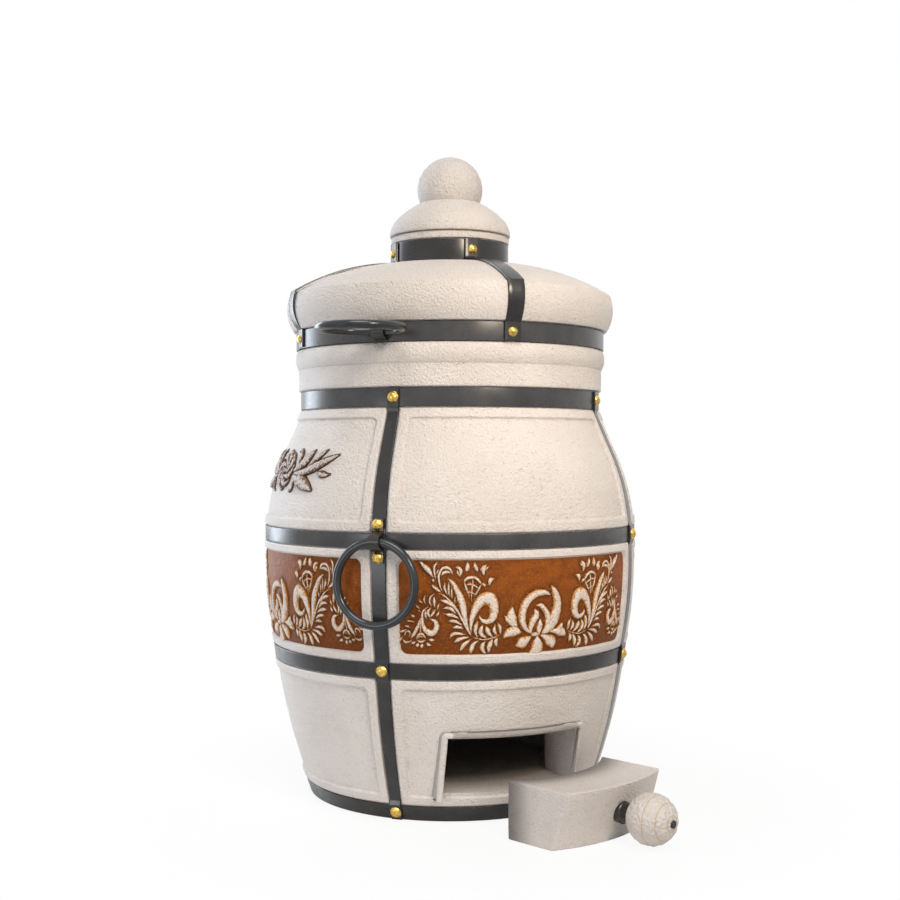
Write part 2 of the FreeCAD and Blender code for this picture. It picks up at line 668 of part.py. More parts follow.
def ring_clips(shanks):
    """The two clips that hold the ring handles on their straps."""
    core = [("0", BOTTOM_EDGES[0]), *strap_face(), ("0", TOP_EDGES[1])]
    for place, strap in RING_STRAPS.items():
        azimuth = STRAPS[strap]
        blank = plate("clip_blank", clip_outline(CLIP_FACE, CLIP_HOLD, "middle_hoop_level",
                                                 "clip_tab", "clip_slope"), "clip_width", azimuth)
        bore = rod("clip_bore", "bar_radius + bore_play", "2 * clip_width", CLIP_HOLD,
                   "middle_hoop_level", azimuth)
        trimmed = cut("clip_on_strap", blank, turned("strap_core", core, "4 * strap_angle", azimuth))
        part(f"ring_clip_{place}", cut("ring_clip", cut("bored_clip", trimmed, bore), shanks))


def ring(name, across, up, azimuth, hangs):
    """Ring of round bar, hanging down from its clip or lying level and pointing outwards."""
    item = DOC.addObject("Part::Torus", name)
    bind(item, "Radius1", "ring_radius")
    bind(item, "Radius2", "bar_radius")
    outward = directions(azimuth)[0]
    hold = outward * value(across) + Vector(0, 0, value(up))
    if hangs:
        item.Placement = Placement(hold - Vector(0, 0, value("ring_radius")),
                                   Rotation(Vector(0, 0, 1), outward))
    else:
        item.Placement = Placement(hold + outward * value("ring_radius"), Rotation())
    return part(name, item)


# ---- rivets -----------------------------------------------------------------------------------

def rivet_seat(across, up, azimuth, tilt=0.0, aside=0.0):
    """Where a rivet sits: its own +X points out of the surface, tilted down by an angle."""
    outward, tangent = directions(azimuth)
    axis = outward * math.cos(tilt) - Vector(0, 0, 1) * math.sin(tilt)
    return Placement(outward * value(across) + tangent * aside + Vector(0, 0, value(up)),
                     Rotation(Vector(1, 0, 0), axis))


def crossing_seats():
    """Rivets at the crossings of hoops and straps, but not under the clips of the rings."""
    seats = []
    for hoop, (low, high, low_across, high_across) in HOOPS.items():
        for strap, azimuth in STRAPS.items():
            if hoop == "hoop_middle" and strap in RING_STRAPS.values():
                continue
            across = f"(({low_across}) + ({high_across})) / 2 + {CROSSING}"
            lean = value(high_across) - value(low_across)
            tilt = math.atan2(lean, value(high) - value(low))
            seats.append(rivet_seat(across, f"(({low}) + ({high})) / 2", azimuth, tilt))
    return seats


def clip_seats():
    """The rivets above and below each ring's clip."""
    return [rivet_seat(CLIP_FACE, f"middle_hoop_level {sign} {CLIP_RIVET_OFFSET}", STRAPS[strap])
            for strap in RING_STRAPS.values() for sign in "+-"]


def pair_seats(across, up, azimuth):
    """Two rivets side by side on a plate of the hinge."""
    spread = value("hinge_rivet_spread")
    return [rivet_seat(across, up, azimuth, 0.0, side * spread) for side in (-1, 1)]


def rivet_shape(radius):
    """Domed head on a shank: the head's flat side lies at x = 0 and the shank points to -X."""
    dome, shank, length = value("rivet_dome"), value("rivet_shank_radius"), value("rivet_shank_length")
    ball = (radius ** 2 + dome ** 2) / (2 * dome)
    head = Part.makeSphere(ball, Vector(dome - ball, 0, 0))
    side = 2 * ball
    head = head.common(Part.makeBox(side, 2 * side, 2 * side, Vector(0, -side, -side)))
    return head.fuse(Part.makeCylinder(shank, length, Vector(0, 0, 0), Vector(-1, 0, 0))).removeSplitter()


def rivet_group(name, seats, radius):
    """One sub-part of separate rivets."""
    shape = rivet_shape(value(radius))
    return part(name, shape_of(name, Part.Compound([shape.transformed(seat.toMatrix())
                                                    for seat in seats])))


def shank_tool(name, seats):
    """Cylinders that cut the holes for a group of rivets."""
    radius, length, head = value("rivet_shank_radius"), value("rivet_shank_length"), value("rivet_dome")
    cylinder = Part.makeCylinder(radius, length + head, Vector(head, 0, 0), Vector(-1, 0, 0))
    return shape_of(name, Part.Compound([cylinder.transformed(seat.toMatrix()) for seat in seats]))


# ---- lid --------------------------------------------------------------------------------------

LID_BASE = "lip_level + seat_gap"
LID_BAND = (LID_BASE, f"{LID_BASE} + lid_band_width")
LID_BAND_LEVEL = f"{LID_BASE} + lid_band_width / 2"
SKIRT = f"{LID_BAND[1]} + channel_gap"
NECK_BAND = ("neck_band_level", "neck_band_level + neck_band_width")
DOME_TOP = "neck_band_level - channel_gap"
COLLAR_FOOT = f"{NECK_BAND[1]} + channel_gap"
COLLAR_TOP = f"{COLLAR_FOOT} + collar_height"
LID_STRAPS = {f"lid_strap_{place}": f"lid_turn + {quarter}" for place, quarter in
              zip(("front", "right", "back", "left"), QUARTERS)}
LID_RING_AZIMUTH = "lid_turn - 45"
BAND_FACE = "lid_band_radius + hoop_thickness"
NECK_FACE = "neck_band_radius + hoop_thickness"


def dome_line(out):
    """Shoulder and dome of the lid, moved outwards and upwards by the same distance."""
    foot = "neck_band_radius + neck_foot_reach"
    return [(f"lid_skirt_radius + {out}", f"{SKIRT} + {out}"),
            (f"lid_shoulder_radius + {out}", f"lid_shoulder_level + {out}",
             f"(lid_skirt_radius + lid_shoulder_radius) / 2 + lid_shoulder_bulge + {out}",
             f"({SKIRT} + lid_shoulder_level) / 2 + {out}"),
            (f"{foot} + {out}", f"{DOME_TOP} + {out}",
             f"({foot} + lid_shoulder_radius) / 2 + {out}",
             f"({DOME_TOP} + lid_shoulder_level) / 2 + lid_dome_bulge + {out}")]


def lid_stock():
    """The clay lid before its rivet holes: skirt, shoulder, dome, neck, collar, vent and hollow."""
    hollow = f"({MOUTH_RADIUS}) + lid_hollow_draft"
    return turned("lid_stock", [
        (MOUTH_RADIUS, LID_BASE), ("lid_band_radius", LID_BASE), ("lid_band_radius", SKIRT),
        *dome_line("0"), ("neck_band_radius", DOME_TOP), ("neck_band_radius", COLLAR_FOOT),
        ("collar_radius", COLLAR_FOOT), ("collar_radius", COLLAR_TOP),
        ("vent_radius", COLLAR_TOP), ("vent_radius", f"{DOME_TOP} - lid_wall"),
        (hollow, f"{LID_BASE} + lid_hollow_height", f"(vent_radius + {hollow}) / 2",
         f"({DOME_TOP} - lid_wall + {LID_BASE} + lid_hollow_height) / 2 + lid_dome_bulge")])


def flat_band(name, edges, across):
    """Straight band round the lid."""
    low, high = edges
    return turned(name, [(across, low), (f"{across} + hoop_thickness", low),
                         (f"{across} + hoop_thickness", high), (across, high)])


def lid_strap_outline():
    """Side view of a strap of the lid, from its tab on the lid band to its tab on the neck band."""
    tab, step = f"{BAND_FACE} + strap_thickness", "channel_gap"
    top = f"{NECK_FACE} + strap_thickness"
    return [(f"lid_band_radius - strap_root", f"{LID_BASE} + {step}"), (tab, f"{LID_BASE} + {step}"),
            (tab, LID_BAND[1]), *dome_line("strap_thickness"),
            (top, f"{DOME_TOP} + strap_thickness + channel_gap"), (top, NECK_BAND[1]),
            ("neck_band_radius - strap_root", NECK_BAND[1]),
            ("neck_band_radius - strap_root", f"{DOME_TOP} - strap_root"),
            ("(neck_band_radius + lid_shoulder_radius) / 2",
             f"({DOME_TOP} + lid_shoulder_level) / 2 - strap_root"),
            (f"lid_band_radius - strap_root", f"lid_shoulder_level - 3 * strap_root")]


def lid(shanks):
    """Clay lid, its two bands, its four straps and the clip of its ring."""
    stock = lid_stock()
    bands = {"lid_band": flat_band("lid_band_stock", LID_BAND, "lid_band_radius"),
             "neck_band": flat_band("neck_band_stock", NECK_BAND, "neck_band_radius")}
    bedding = joined("lid_bedding", [stock, *bands.values()])
    part("lid_dome", cut("lid_dome", stock, shanks))
    for name, band in bands.items():
        part(name, cut(name, band, shanks))
    for name, azimuth in LID_STRAPS.items():
        blank = plate("lid_strap_blank", lid_strap_outline(), "lid_strap_width", azimuth)
        part(name, cut(name, cut("trimmed_lid_strap", blank, bedding), shanks))
    clip = plate("lid_clip_blank", clip_outline(LID_CLIP_FACE, LID_HOLD, LID_BAND_LEVEL,
                                                "lid_clip_tab", "lid_clip_slope"),
                 "lid_clip_width", LID_RING_AZIMUTH)
    bore = rod("lid_clip_bore", "bar_radius + bore_play", "2 * lid_clip_width", LID_HOLD,
               LID_BAND_LEVEL, LID_RING_AZIMUTH)
    part("lid_ring_clip", cut("lid_ring_clip", cut("lid_clip_on_band", clip, bedding), bore))
    return bedding


LID_CLIP_FACE = f"{BAND_FACE} + clip_thickness"
LID_HOLD = f"{BAND_FACE} + clip_web + bar_radius + bore_play"


def lid_seats():
    """Rivets at both ends of each strap of the lid."""
    seats = []
    for azimuth in LID_STRAPS.values():
        seats.append(rivet_seat(f"{BAND_FACE} + strap_thickness", LID_BAND_LEVEL, azimuth))
        seats.append(rivet_seat(f"{NECK_FACE} + strap_thickness",
                                "neck_band_level + neck_band_width / 2", azimuth))
    return seats


# ---- vent cap ---------------------------------------------------------------------------------

def vent_cap():
    """Small clay lid in the vent, with its ball."""
    base, spigot = f"{COLLAR_TOP} + seat_gap", "vent_radius - cap_clearance"
    crease, top = f"{base} + cap_crease_level", f"{base} + cap_height"
    part("vent_cap", turned("vent_cap", [
        ("0", f"{base} - cap_spigot_depth"), (spigot, f"{base} - cap_spigot_depth"), (spigot, base),
        ("collar_radius", base), ("collar_radius", f"{base} + cap_rim_height"),
        ("cap_crease_radius", crease),
        ("cap_top_radius", top, "(cap_crease_radius + cap_top_radius) / 2 + cap_bulge",
         f"({crease} + {top}) / 2 + cap_bulge"), ("0", top)]))
    flat = "sqrt(knob_radius ^ 2 - (knob_radius - knob_sink) ^ 2)"
    part("cap_knob", turned("cap_knob", [
        ("0", top), (flat, top),
        ("0", f"{top} + 2 * knob_radius - knob_sink", "knob_radius",
         f"{top} + knob_radius - knob_sink")]))


# ---- hinge ------------------------------------------------------------------------------------

PIN_LEVEL = "lip_level + hinge_rise"
LUG_FOOT = f"{LIP_FOOT} - lug_foot_height"
ARM_INNER = "lip_edge_radius + lip_bulge + knuckle_gap"
LUG_FACE = "neck_radius + hinge_plate"
LEAF_FACE = f"{BAND_FACE} + hinge_plate"
LEAF_LOW = f"{PIN_LEVEL} + hinge_rise"
LUG_RIVET_LEVEL = f"{LUG_FOOT} + lug_foot_height / 3"
LEAF_RIVET_LEVEL = f"({LEAF_LOW} + {LID_BAND[1]}) / 2"


def hinge_lug(shanks):
    """Bracket on the neck, with the two outer knuckles."""
    arm_outer = f"{ARM_INNER} + hinge_plate"
    blank = plate("lug_blank", [
        ("neck_radius - strap_root", LUG_FOOT), (LUG_FACE, LUG_FOOT),
        (LUG_FACE, f"{LIP_FOOT} - knuckle_radius"), (arm_outer, LIP_FOOT),
        (arm_outer, f"{PIN_LEVEL} - 2 * knuckle_radius"),
        ("hinge_reach", f"{PIN_LEVEL} - knuckle_radius"),
        ("hinge_reach - knuckle_radius", PIN_LEVEL,
         "hinge_reach + knuckle_radius * cos(45deg)", f"{PIN_LEVEL} + knuckle_radius * sin(45deg)"),
        (ARM_INNER, PIN_LEVEL), (ARM_INNER, LIP_FOOT), ("neck_radius - strap_root", LIP_FOOT)],
        "hinge_width", "hinge_azimuth")
    slot_low = f"{PIN_LEVEL} - knuckle_radius - 2 * knuckle_gap"
    slot = plate("lug_slot", [("neck_radius", slot_low), ("hinge_reach + 4 * knuckle_radius", slot_low),
                              ("hinge_reach + 4 * knuckle_radius", f"{PIN_LEVEL} + 2 * knuckle_radius"),
                              ("neck_radius", f"{PIN_LEVEL} + 2 * knuckle_radius")],
                 "knuckle_width + 2 * knuckle_gap", "hinge_azimuth")
    bore = rod("lug_bore", "pin_radius", "2 * hinge_width", "hinge_reach", PIN_LEVEL, "hinge_azimuth")
    neck = [item for name, item in PARTS if name == "clay_neck"][0]
    slotted = cut("slotted_lug", cut("lug_on_neck", blank, neck), slot)
    part("hinge_lug", cut("hinge_lug", cut("bored_lug", slotted, bore), shanks))


def hinge_leaf(bedding, shanks):
    """Leaf on the lid band, with the middle knuckle."""
    leaf = plate("leaf_plate", [
        ("lid_band_radius", LEAF_LOW), (LEAF_FACE, LEAF_LOW), (LEAF_FACE, LID_BAND[1]),
        ("lid_band_radius", LID_BAND[1])], "hinge_width - 2 * knuckle_gap", "hinge_azimuth")
    knuckle = plate("leaf_knuckle", [
        ("lid_band_radius", LEAF_LOW), ("hinge_reach - knuckle_radius", PIN_LEVEL),
        ("hinge_reach + knuckle_radius", PIN_LEVEL, "hinge_reach", f"{PIN_LEVEL} - knuckle_radius"),
        ("hinge_reach", f"{PIN_LEVEL} + knuckle_radius",
         "hinge_reach + knuckle_radius * cos(45deg)", f"{PIN_LEVEL} + knuckle_radius * sin(45deg)"),
        ("lid_band_radius", f"{PIN_LEVEL} + 2 * knuckle_radius")], "knuckle_width", "hinge_azimuth")
    bore = rod("leaf_bore", "pin_radius + pin_clearance", "2 * hinge_width", "hinge_reach",
               PIN_LEVEL, "hinge_azimuth")
    seated = cut("leaf_on_band", joined("leaf_blank", [leaf, knuckle]), bedding)
    part("hinge_leaf", cut("hinge_leaf", cut("bored_leaf", seated, bore), shanks))


# ---- fire grate -------------------------------------------------------------------------------

def fire_grate():
    """Round grate of parallel bars with one cross bar, loose on the ledge of the ash chamber."""
    low, high, inner = "ledge_level", "ledge_level + grate_thickness", "grate_radius - grate_rim"
    rim = turned("grate_rim", [(inner, low), ("grate_radius", low), ("grate_radius", high),
                               (inner, high)])
    count = int(value(inner) // value("grate_pitch"))
    bars = [box("grate_bar", "grate_bar", "2 * grate_radius", "grate_thickness",
                f"{number} * grate_pitch - grate_bar / 2", "-grate_radius", low)
            for number in range(-count, count + 1)]
    bars.append(box("grate_cross_bar", "2 * grate_radius", "grate_bar", "grate_thickness",
                    "-grate_radius", "-grate_bar / 2", low))
    disc = turned("grate_disc", [("0", low), ("grate_radius - grate_rim / 2", low),
                                 ("grate_radius - grate_rim / 2", high), ("0", high)])
    inside = common("grate_inside", joined("grate_bars", bars), disc)
    part("fire_grate", joined("fire_grate", [rim, inside]))


# ---- ash plug ---------------------------------------------------------------------------------

PLUG_LOW = "sill_level + plug_clearance"
PLUG_HIGH = "sill_level + opening_height - plug_clearance"
PLUG_LEVEL = "sill_level + opening_height / 2"
PLUG_WIDTH = "opening_width - 2 * plug_clearance"


def plug_stand():
    """Placement that takes the plug from its seat in the opening to where it stands."""
    return Placement(Vector(value("plug_shift"), -value("plug_pull"), -value(PLUG_LOW)),
                     Rotation(Vector(0, 0, 1), value("plug_turn")))


def plug_rod(label, radius, near, far):
    """Cylinder along the plug's axis, from near to far in front of the oven's axis."""
    item = DOC.addObject("Part::Cylinder", label)
    bind(item, "Radius", radius)
    item.Height = far - near
    item.Placement = Placement(Vector(0, -near, value(PLUG_LEVEL)),
                               Rotation(Vector(0, 0, 1), Vector(0, -1, 0)))
    return item


def ash_plug():
    """Plug, ferrule, turned knob and bolt, made in the opening and then stood on the floor."""
    skin = turned("plug_skin", [("chamber_radius", PLUG_LOW), on(LOWER_ZONE, FIELD, PLUG_LOW),
                                on(LOWER_ZONE, FIELD, PLUG_HIGH), ("chamber_radius", PLUG_HIGH)],
                  "120", "0")
    stock = box("plug_stock", PLUG_WIDTH, OUTSIDE, f"{PLUG_HIGH} - ({PLUG_LOW})",
                f"-({PLUG_WIDTH}) / 2", f"-({OUTSIDE})", PLUG_LOW)
    block = common("plug_block", skin, stock)
    face = arc_across(on(LOWER_ZONE, FIELD, PLUG_LEVEL), value(PLUG_LEVEL))
    neck_end = face + value("plug_neck_length")
    radius, neck = value("plug_knob_radius"), value("plug_neck_radius")
    centre = neck_end + math.sqrt(radius ** 2 - neck ** 2)
    bolt_start, bolt_end = face - value("plug_bolt_reach"), centre + radius + value("plug_bolt_end")
    bolt_hole = plug_rod("plug_bolt_hole", "plug_bolt_radius", bolt_start, bolt_end)
    ferrule = cut("ferrule_on_plug", plug_rod("ferrule", "plug_neck_radius", face - neck, neck_end),
                  block)
    ball = DOC.addObject("Part::Sphere", "plug_ball")
    bind(ball, "Radius", "plug_knob_radius")
    ball.Placement = Placement(Vector(0, -centre, value(PLUG_LEVEL)), Rotation())
    flat = plug_rod("ball_flat", "plug_knob_radius", face, neck_end)
    for name, item in (("ash_plug", block), ("plug_ferrule", ferrule),
                       ("plug_knob", cut("flat_ball", ball, flat))):
        drilled = cut(name, item, bolt_hole)
        drilled.Placement = plug_stand()
        part(name, drilled)
    bolt = plug_rod("plug_bolt", "plug_bolt_radius", bolt_start, bolt_end)
    bolt.Placement = plug_stand().multiply(bolt.Placement)
    part("plug_bolt", bolt)


# ---- assembly ---------------------------------------------------------------------------------

def build():
    """Make every sub-part."""
    body_seats = crossing_seats() + pair_seats(LUG_FACE, LUG_RIVET_LEVEL, "hinge_azimuth")
    all_shanks = shank_tool("body_shanks", body_seats + clip_seats())
    base = jar(all_shanks)
    relief_panels()
    ash_surround(base)
    hoops(all_shanks)
    straps(all_shanks)
    ring_clips(all_shanks)
    rivet_group("body_rivets", body_seats, "rivet_radius")
    rivet_group("clip_rivets", clip_seats(), "rivet_radius")
    for place, strap in RING_STRAPS.items():
        ring(f"body_ring_{place}", CLIP_HOLD, "middle_hoop_level", STRAPS[strap], True)
    fire_grate()

    lid_rivet_seats = lid_seats() + pair_seats(LEAF_FACE, LEAF_RIVET_LEVEL, "hinge_azimuth")
    lid_shanks = shank_tool("lid_shanks", lid_rivet_seats)
    bedding = lid(lid_shanks)
    rivet_group("lid_rivets", lid_rivet_seats, "lid_rivet_radius")
    ring("lid_ring", LID_HOLD, LID_BAND_LEVEL, LID_RING_AZIMUTH, False)
    vent_cap()
    hinge_lug(all_shanks)
    hinge_leaf(bedding, lid_shanks)
    part("hinge_pin", rod("hinge_pin", "pin_radius", "hinge_width + 2 * pin_overhang",
                          "hinge_reach", PIN_LEVEL, "hinge_azimuth"))
    ash_plug()


def check():
    """Stop if anything in the document failed, or a sub-part isn't a whole number of solids."""
    DOC.recompute()
    for item in DOC.Objects:
        if {"Invalid", "Error"} & set(item.State):
            raise SystemExit(f"{item.Name} ({item.Label}) failed: {item.State}")
    for name, item in PARTS:
        shape = item.Shape
        if shape.isNull() or not shape.isValid() or not shape.Solids:
            raise SystemExit(f"{name} has no valid solid")


def export():
    """Write one STEP file for each sub-part."""
    os.makedirs("parts", exist_ok=True)
    for name, item in PARTS:
        item.Shape.exportStep(f"parts/{name}.step")
        room = item.Shape.BoundBox
        print(f"{name:22s} solids {len(item.Shape.Solids):2d}"
              f"  volume {item.Shape.Volume / 1000:10.1f} cm3"
              f"  x {room.XMin:7.1f} {room.XMax:7.1f}  y {room.YMin:7.1f} {room.YMax:7.1f}"
              f"  z {room.ZMin:7.1f} {room.ZMax:7.1f}")


build()
check()
export()
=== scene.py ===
"""Looks of a clay tandoor oven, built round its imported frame.

The jar, the lid and the plug are modelled as fired clay, the cage, the bands and the rings as
blackened steel, and the belt as brown glazed panels with a raised ornament of flowers. Sizes are in
millimetres and degrees until a mesh is made. An azimuth counts from the front (-Y) towards +X.
"""

import logging
import math
from dataclasses import dataclass, field
from enum import Enum
from functools import partial
from typing import Callable, Iterable, Sequence

import bmesh
import bpy
from mathutils import Euler, Matrix, Vector, kdtree, noise

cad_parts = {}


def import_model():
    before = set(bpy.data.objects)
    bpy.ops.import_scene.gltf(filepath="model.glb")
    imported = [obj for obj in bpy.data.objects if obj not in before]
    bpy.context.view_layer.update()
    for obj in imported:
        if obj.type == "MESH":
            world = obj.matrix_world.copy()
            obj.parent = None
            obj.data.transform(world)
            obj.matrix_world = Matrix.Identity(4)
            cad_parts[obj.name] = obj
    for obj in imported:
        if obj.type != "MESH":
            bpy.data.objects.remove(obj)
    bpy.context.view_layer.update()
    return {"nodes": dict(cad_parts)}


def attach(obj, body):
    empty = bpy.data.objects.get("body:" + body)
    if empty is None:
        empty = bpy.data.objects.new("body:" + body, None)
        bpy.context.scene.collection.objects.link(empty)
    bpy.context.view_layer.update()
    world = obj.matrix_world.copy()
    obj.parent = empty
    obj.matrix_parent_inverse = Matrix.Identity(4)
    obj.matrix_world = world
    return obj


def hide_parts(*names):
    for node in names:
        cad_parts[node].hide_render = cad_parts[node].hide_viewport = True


LOG = logging.getLogger("oven")
MM = 0.001
ON_AXIS = 1e-4
WIDE_STEPS = 240
HOOP_EDGE = 1.1
HOOP_UNEVEN = 0.25
UP = Vector((0.0, 0.0, 1.0))
SIDES = ("front", "right", "back", "left")

Point = tuple[float, float]
Corner = tuple[float, float, float]
Colour = tuple[float, float, float]
Shape = tuple[list[Vector], list[list[int]]]
Spine = tuple[Corner, ...]
Profile = Callable[[float], Point]
OnWall = Callable[[float, float, float], Vector]


class Slot(Enum):
    """Material slots of the record."""

    CLAY = "fired_clay"
    GLAZE = "relief_glaze"
    STEEL = "blackened_steel"
    BRASS = "brass"
    KNOB = "knob_clay"


class Rides(Enum):
    """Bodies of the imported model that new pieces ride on."""

    OVEN = "oven"
    LID = "lid"
    CAP = "cap"
    PLUG = "plug"
    FRONT_RING = "front_ring"
    BACK_RING = "back_ring"
    LID_HANDLE = "lid_handle"


# ---- small geometry -----------------------------------------------------------------------------

def smooth(low: float, high: float, at: float) -> float:
    """Soft step from 0 at low to 1 at high."""
    share = min(max((at - low) / (high - low), 0.0), 1.0)
    return share * share * (3.0 - 2.0 * share)


def spread(low: float, high: float, pitch: float) -> list[float]:
    """Values from low up to high, without high, about a pitch apart."""
    steps = max(1, round((high - low) / pitch))
    return [low + (high - low) * step / steps for step in range(steps)]


def about(azimuth: float, across: float, up: float) -> Vector:
    """Point at an azimuth, a distance from the axis and a height, in millimetres."""
    heading = math.radians(azimuth - 90.0)
    return Vector((math.cos(heading) * across, math.sin(heading) * across, up))


def outward(azimuth: float) -> Vector:
    """Unit vector away from the axis at an azimuth."""
    return about(azimuth, 1.0, 0.0)


def tangent(azimuth: float) -> Vector:
    """Unit vector along the wall at an azimuth, towards larger azimuths."""
    return about(azimuth + 90.0, 1.0, 0.0)


def wander(spot: Vector, scale: float, size: float) -> float:
    """Smooth hand-made unevenness.

    Args:
        spot: Point in millimetres.
        scale: Length over which the surface wanders.
        size: Largest departure either way.

    Returns:
        A value between -size and size.
    """
    return noise.noise(spot / scale) * size


def eased(corners: Sequence[Corner], steps: int = 4) -> list[Point]:
    """Closed outline with its corners rounded.

    Args:
        corners: Across, up and radius of each corner in turn; a radius of 0 stays sharp.
        steps: Stretches in each rounded corner.

    Returns:
        Points of the outline.
    """
    points: list[Point] = []
    for index, (across, up, radius) in enumerate(corners):
        here = Vector((across, up))
        before = (Vector(corners[index - 1][:2]) - here)
        after = (Vector(corners[(index + 1) % len(corners)][:2]) - here)
        if radius <= 0.0 or min(before.length, after.length) < ON_AXIS:
            points.append((across, up))
            continue
        angle = before.angle(after)
        room = 0.49 * min(before.length, after.length)
        reach = min(radius / math.tan(angle / 2.0), room)
        start, end = here + before.normalized() * reach, here + after.normalized() * reach
        for step in range(steps + 1):
            share = step / steps
            bent = start.lerp(here, share).lerp(here.lerp(end, share), share)
            points.append((bent.x, bent.y))
    return points


def arc(start: Point, via: Point, end: Point, steps: int) -> list[Point]:
    """Points on the arc through three points, without its end.

    Args:
        start: First point of the arc.
        via: A point that it passes.
        end: Its last point.
        steps: Stretches along it.

    Returns:
        The point at the start of each stretch.
    """
    (ax, ay), (bx, by), (cx, cy) = start, via, end
    turn = 2.0 * (ax * (by - cy) + bx * (cy - ay) + cx * (ay - by))
    squares = ax * ax + ay * ay, bx * bx + by * by, cx * cx + cy * cy
    ox = (squares[0] * (by - cy) + squares[1] * (cy - ay) + squares[2] * (ay - by)) / turn
    oy = (squares[0] * (cx - bx) + squares[1] * (ax - cx) + squares[2] * (bx - ax)) / turn
    radius = math.hypot(ax - ox, ay - oy)
    first, last = math.atan2(ay - oy, ax - ox), math.atan2(cy - oy, cx - ox)
    sweep = (last - first + math.pi) % math.tau - math.pi
    return [(ox + radius * math.cos(first + sweep * step / steps),
             oy + radius * math.sin(first + sweep * step / steps)) for step in range(steps)]


# ---- pieces -------------------------------------------------------------------------------------

class Workshop:
    """Makes pieces and keeps the materials."""

    def __init__(self) -> None:
        """Start with no materials."""
        self.finishes: dict[str, bpy.types.Material] = {}

    def piece(self, name: str, points: Iterable[Vector], faces: Sequence[Sequence[int]],
              finish: "Finish", slot: Slot, body: Rides, soft_angle: float = 40.0,
              marks: dict[str, Sequence[float]] | None = None) -> bpy.types.Object:
        """Make a mesh piece that rides on a body.

        Args:
            name: Name of the piece.
            points: Its points in millimetres.
            faces: Its faces, as indices of points.
            finish: Material recipe.
            slot: Slot of the record for the piece. It is not used.
            body: Body that it rides on.
            soft_angle: Edges sharper than this angle stay sharp in the shading.
            marks: Values per point that the material reads, by name.

        Returns:
            The new object.
        """
        mesh = bpy.data.meshes.new(name)
        mesh.from_pydata([tuple(point * MM) for point in points], [], faces)
        for mark, values in (marks or {}).items():
            layer = mesh.attributes.new(mark, "FLOAT", "POINT")
            layer.data.foreach_set("value", list(values))
        shape = bmesh.new()
        shape.from_mesh(mesh)
        bmesh.ops.recalc_face_normals(shape, faces=shape.faces)
        shape.to_mesh(mesh)
        shape.free()
        mesh.shade_smooth()
        mesh.set_sharp_from_angle(angle=math.radians(soft_angle))
        mesh.materials.append(self.material(finish))
        item = bpy.data.objects.new(name, mesh)
        bpy.context.scene.collection.objects.link(item)
        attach(item, body.value)
        LOG.info("%s: %d faces", name, len(mesh.polygons))
        return item

    def material(self, finish: "Finish") -> bpy.types.Material:
        """Make the material of a recipe, or find it if it was made before.

        Args:
            finish: Material recipe.

        Returns:
            The material.
        """
        if finish.name not in self.finishes:
            self.finishes[finish.name] = finish.build()
        return self.finishes[finish.name]

    def dress(self, nodes: Iterable[str], finish: "Finish", bevel: float = 0.0) -> None:
        """Give nodes of the frame a finish, and optionally soften their edges.

        Args:
            nodes: Names of the nodes.
            finish: Material recipe.
            bevel: Width of the softened edges in millimetres.
        """
        for node in nodes:
            item = bpy.data.objects[node]
            item.data.materials.clear()
            item.data.materials.append(self.material(finish))
            if bevel:
                soften(item, bevel)


def soften(item: bpy.types.Object, width: float) -> None:
    """Round the sharp edges of an object.

    Args:
        item: The object.
        width: Width of the rounding in millimetres.
    """
    bevel = item.modifiers.new("edges", "BEVEL")
    bevel.width, bevel.segments = width * MM, 2
    bevel.limit_method, bevel.angle_limit = "ANGLE", math.radians(35.0)
    bevel.harden_normals = False


def lathe(outline: Sequence[Point], segments: int, uneven: float = 0.0) -> Shape:
    """Turn an outline about the oven's axis.

    Args:
        outline: Across and up of each point. It is closed, or starts and ends on the axis.
        segments: Steps all round.
        uneven: Size of hand-made unevenness in millimetres.

    Returns:
        Points and faces.
    """
    points: list[Vector] = []
    rings: list[list[int]] = []
    for across, up in outline:
        if across < ON_AXIS:
            rings.append([len(points)] * segments)
            points.append(UP * up)
            continue
        rings.append(list(range(len(points), len(points) + segments)))
        for step in range(segments):
            azimuth = 360.0 * step / segments
            spot = about(azimuth, across, up)
            if uneven:
                spot += outward(azimuth) * wander(spot, 90.0, uneven)
            points.append(spot)
    capped = outline[0][0] < ON_AXIS and outline[-1][0] < ON_AXIS
    pairs = list(zip(rings, rings[1:])) + ([] if capped else [(rings[-1], rings[0])])
    faces = []
    for low, high in pairs:
        for step in range(segments):
            after = (step + 1) % segments
            face = list(dict.fromkeys([low[step], low[after], high[after], high[step]]))
            if len(face) > 2:
                faces.append(face)
    return points, faces


def placed(points: Iterable[Vector], matrix: Matrix) -> list[Vector]:
    """Points moved by a matrix."""
    return [matrix @ point for point in points]


def rows_of(wide: int, total: int) -> list[list[int]]:
    """Numbers of points that were added row by row, each row so many points wide."""
    return [list(range(first, first + wide)) for first in range(0, total, wide)]


def woven(rows: Sequence[list[int]]) -> list[list[int]]:
    """Closed skin over rows of points that each run round a section.

    Args:
        rows: Numbers of the points of each section, from end to end.

    Returns:
        Faces between the sections, and one over each end.
    """
    faces = []
    for low, high in zip(rows, rows[1:]):
        for column in range(len(low)):
            after = (column + 1) % len(low)
            faces.append([low[column], low[after], high[after], high[column]])
    return [*faces, rows[0], rows[-1]]


@dataclass(frozen=True)
class Station:
    """One cross-section of a bent strip: a point on its outer face, the face's normal and the
    strip's width there."""

    across: float
    up: float
    normal_across: float
    normal_up: float
    width: float


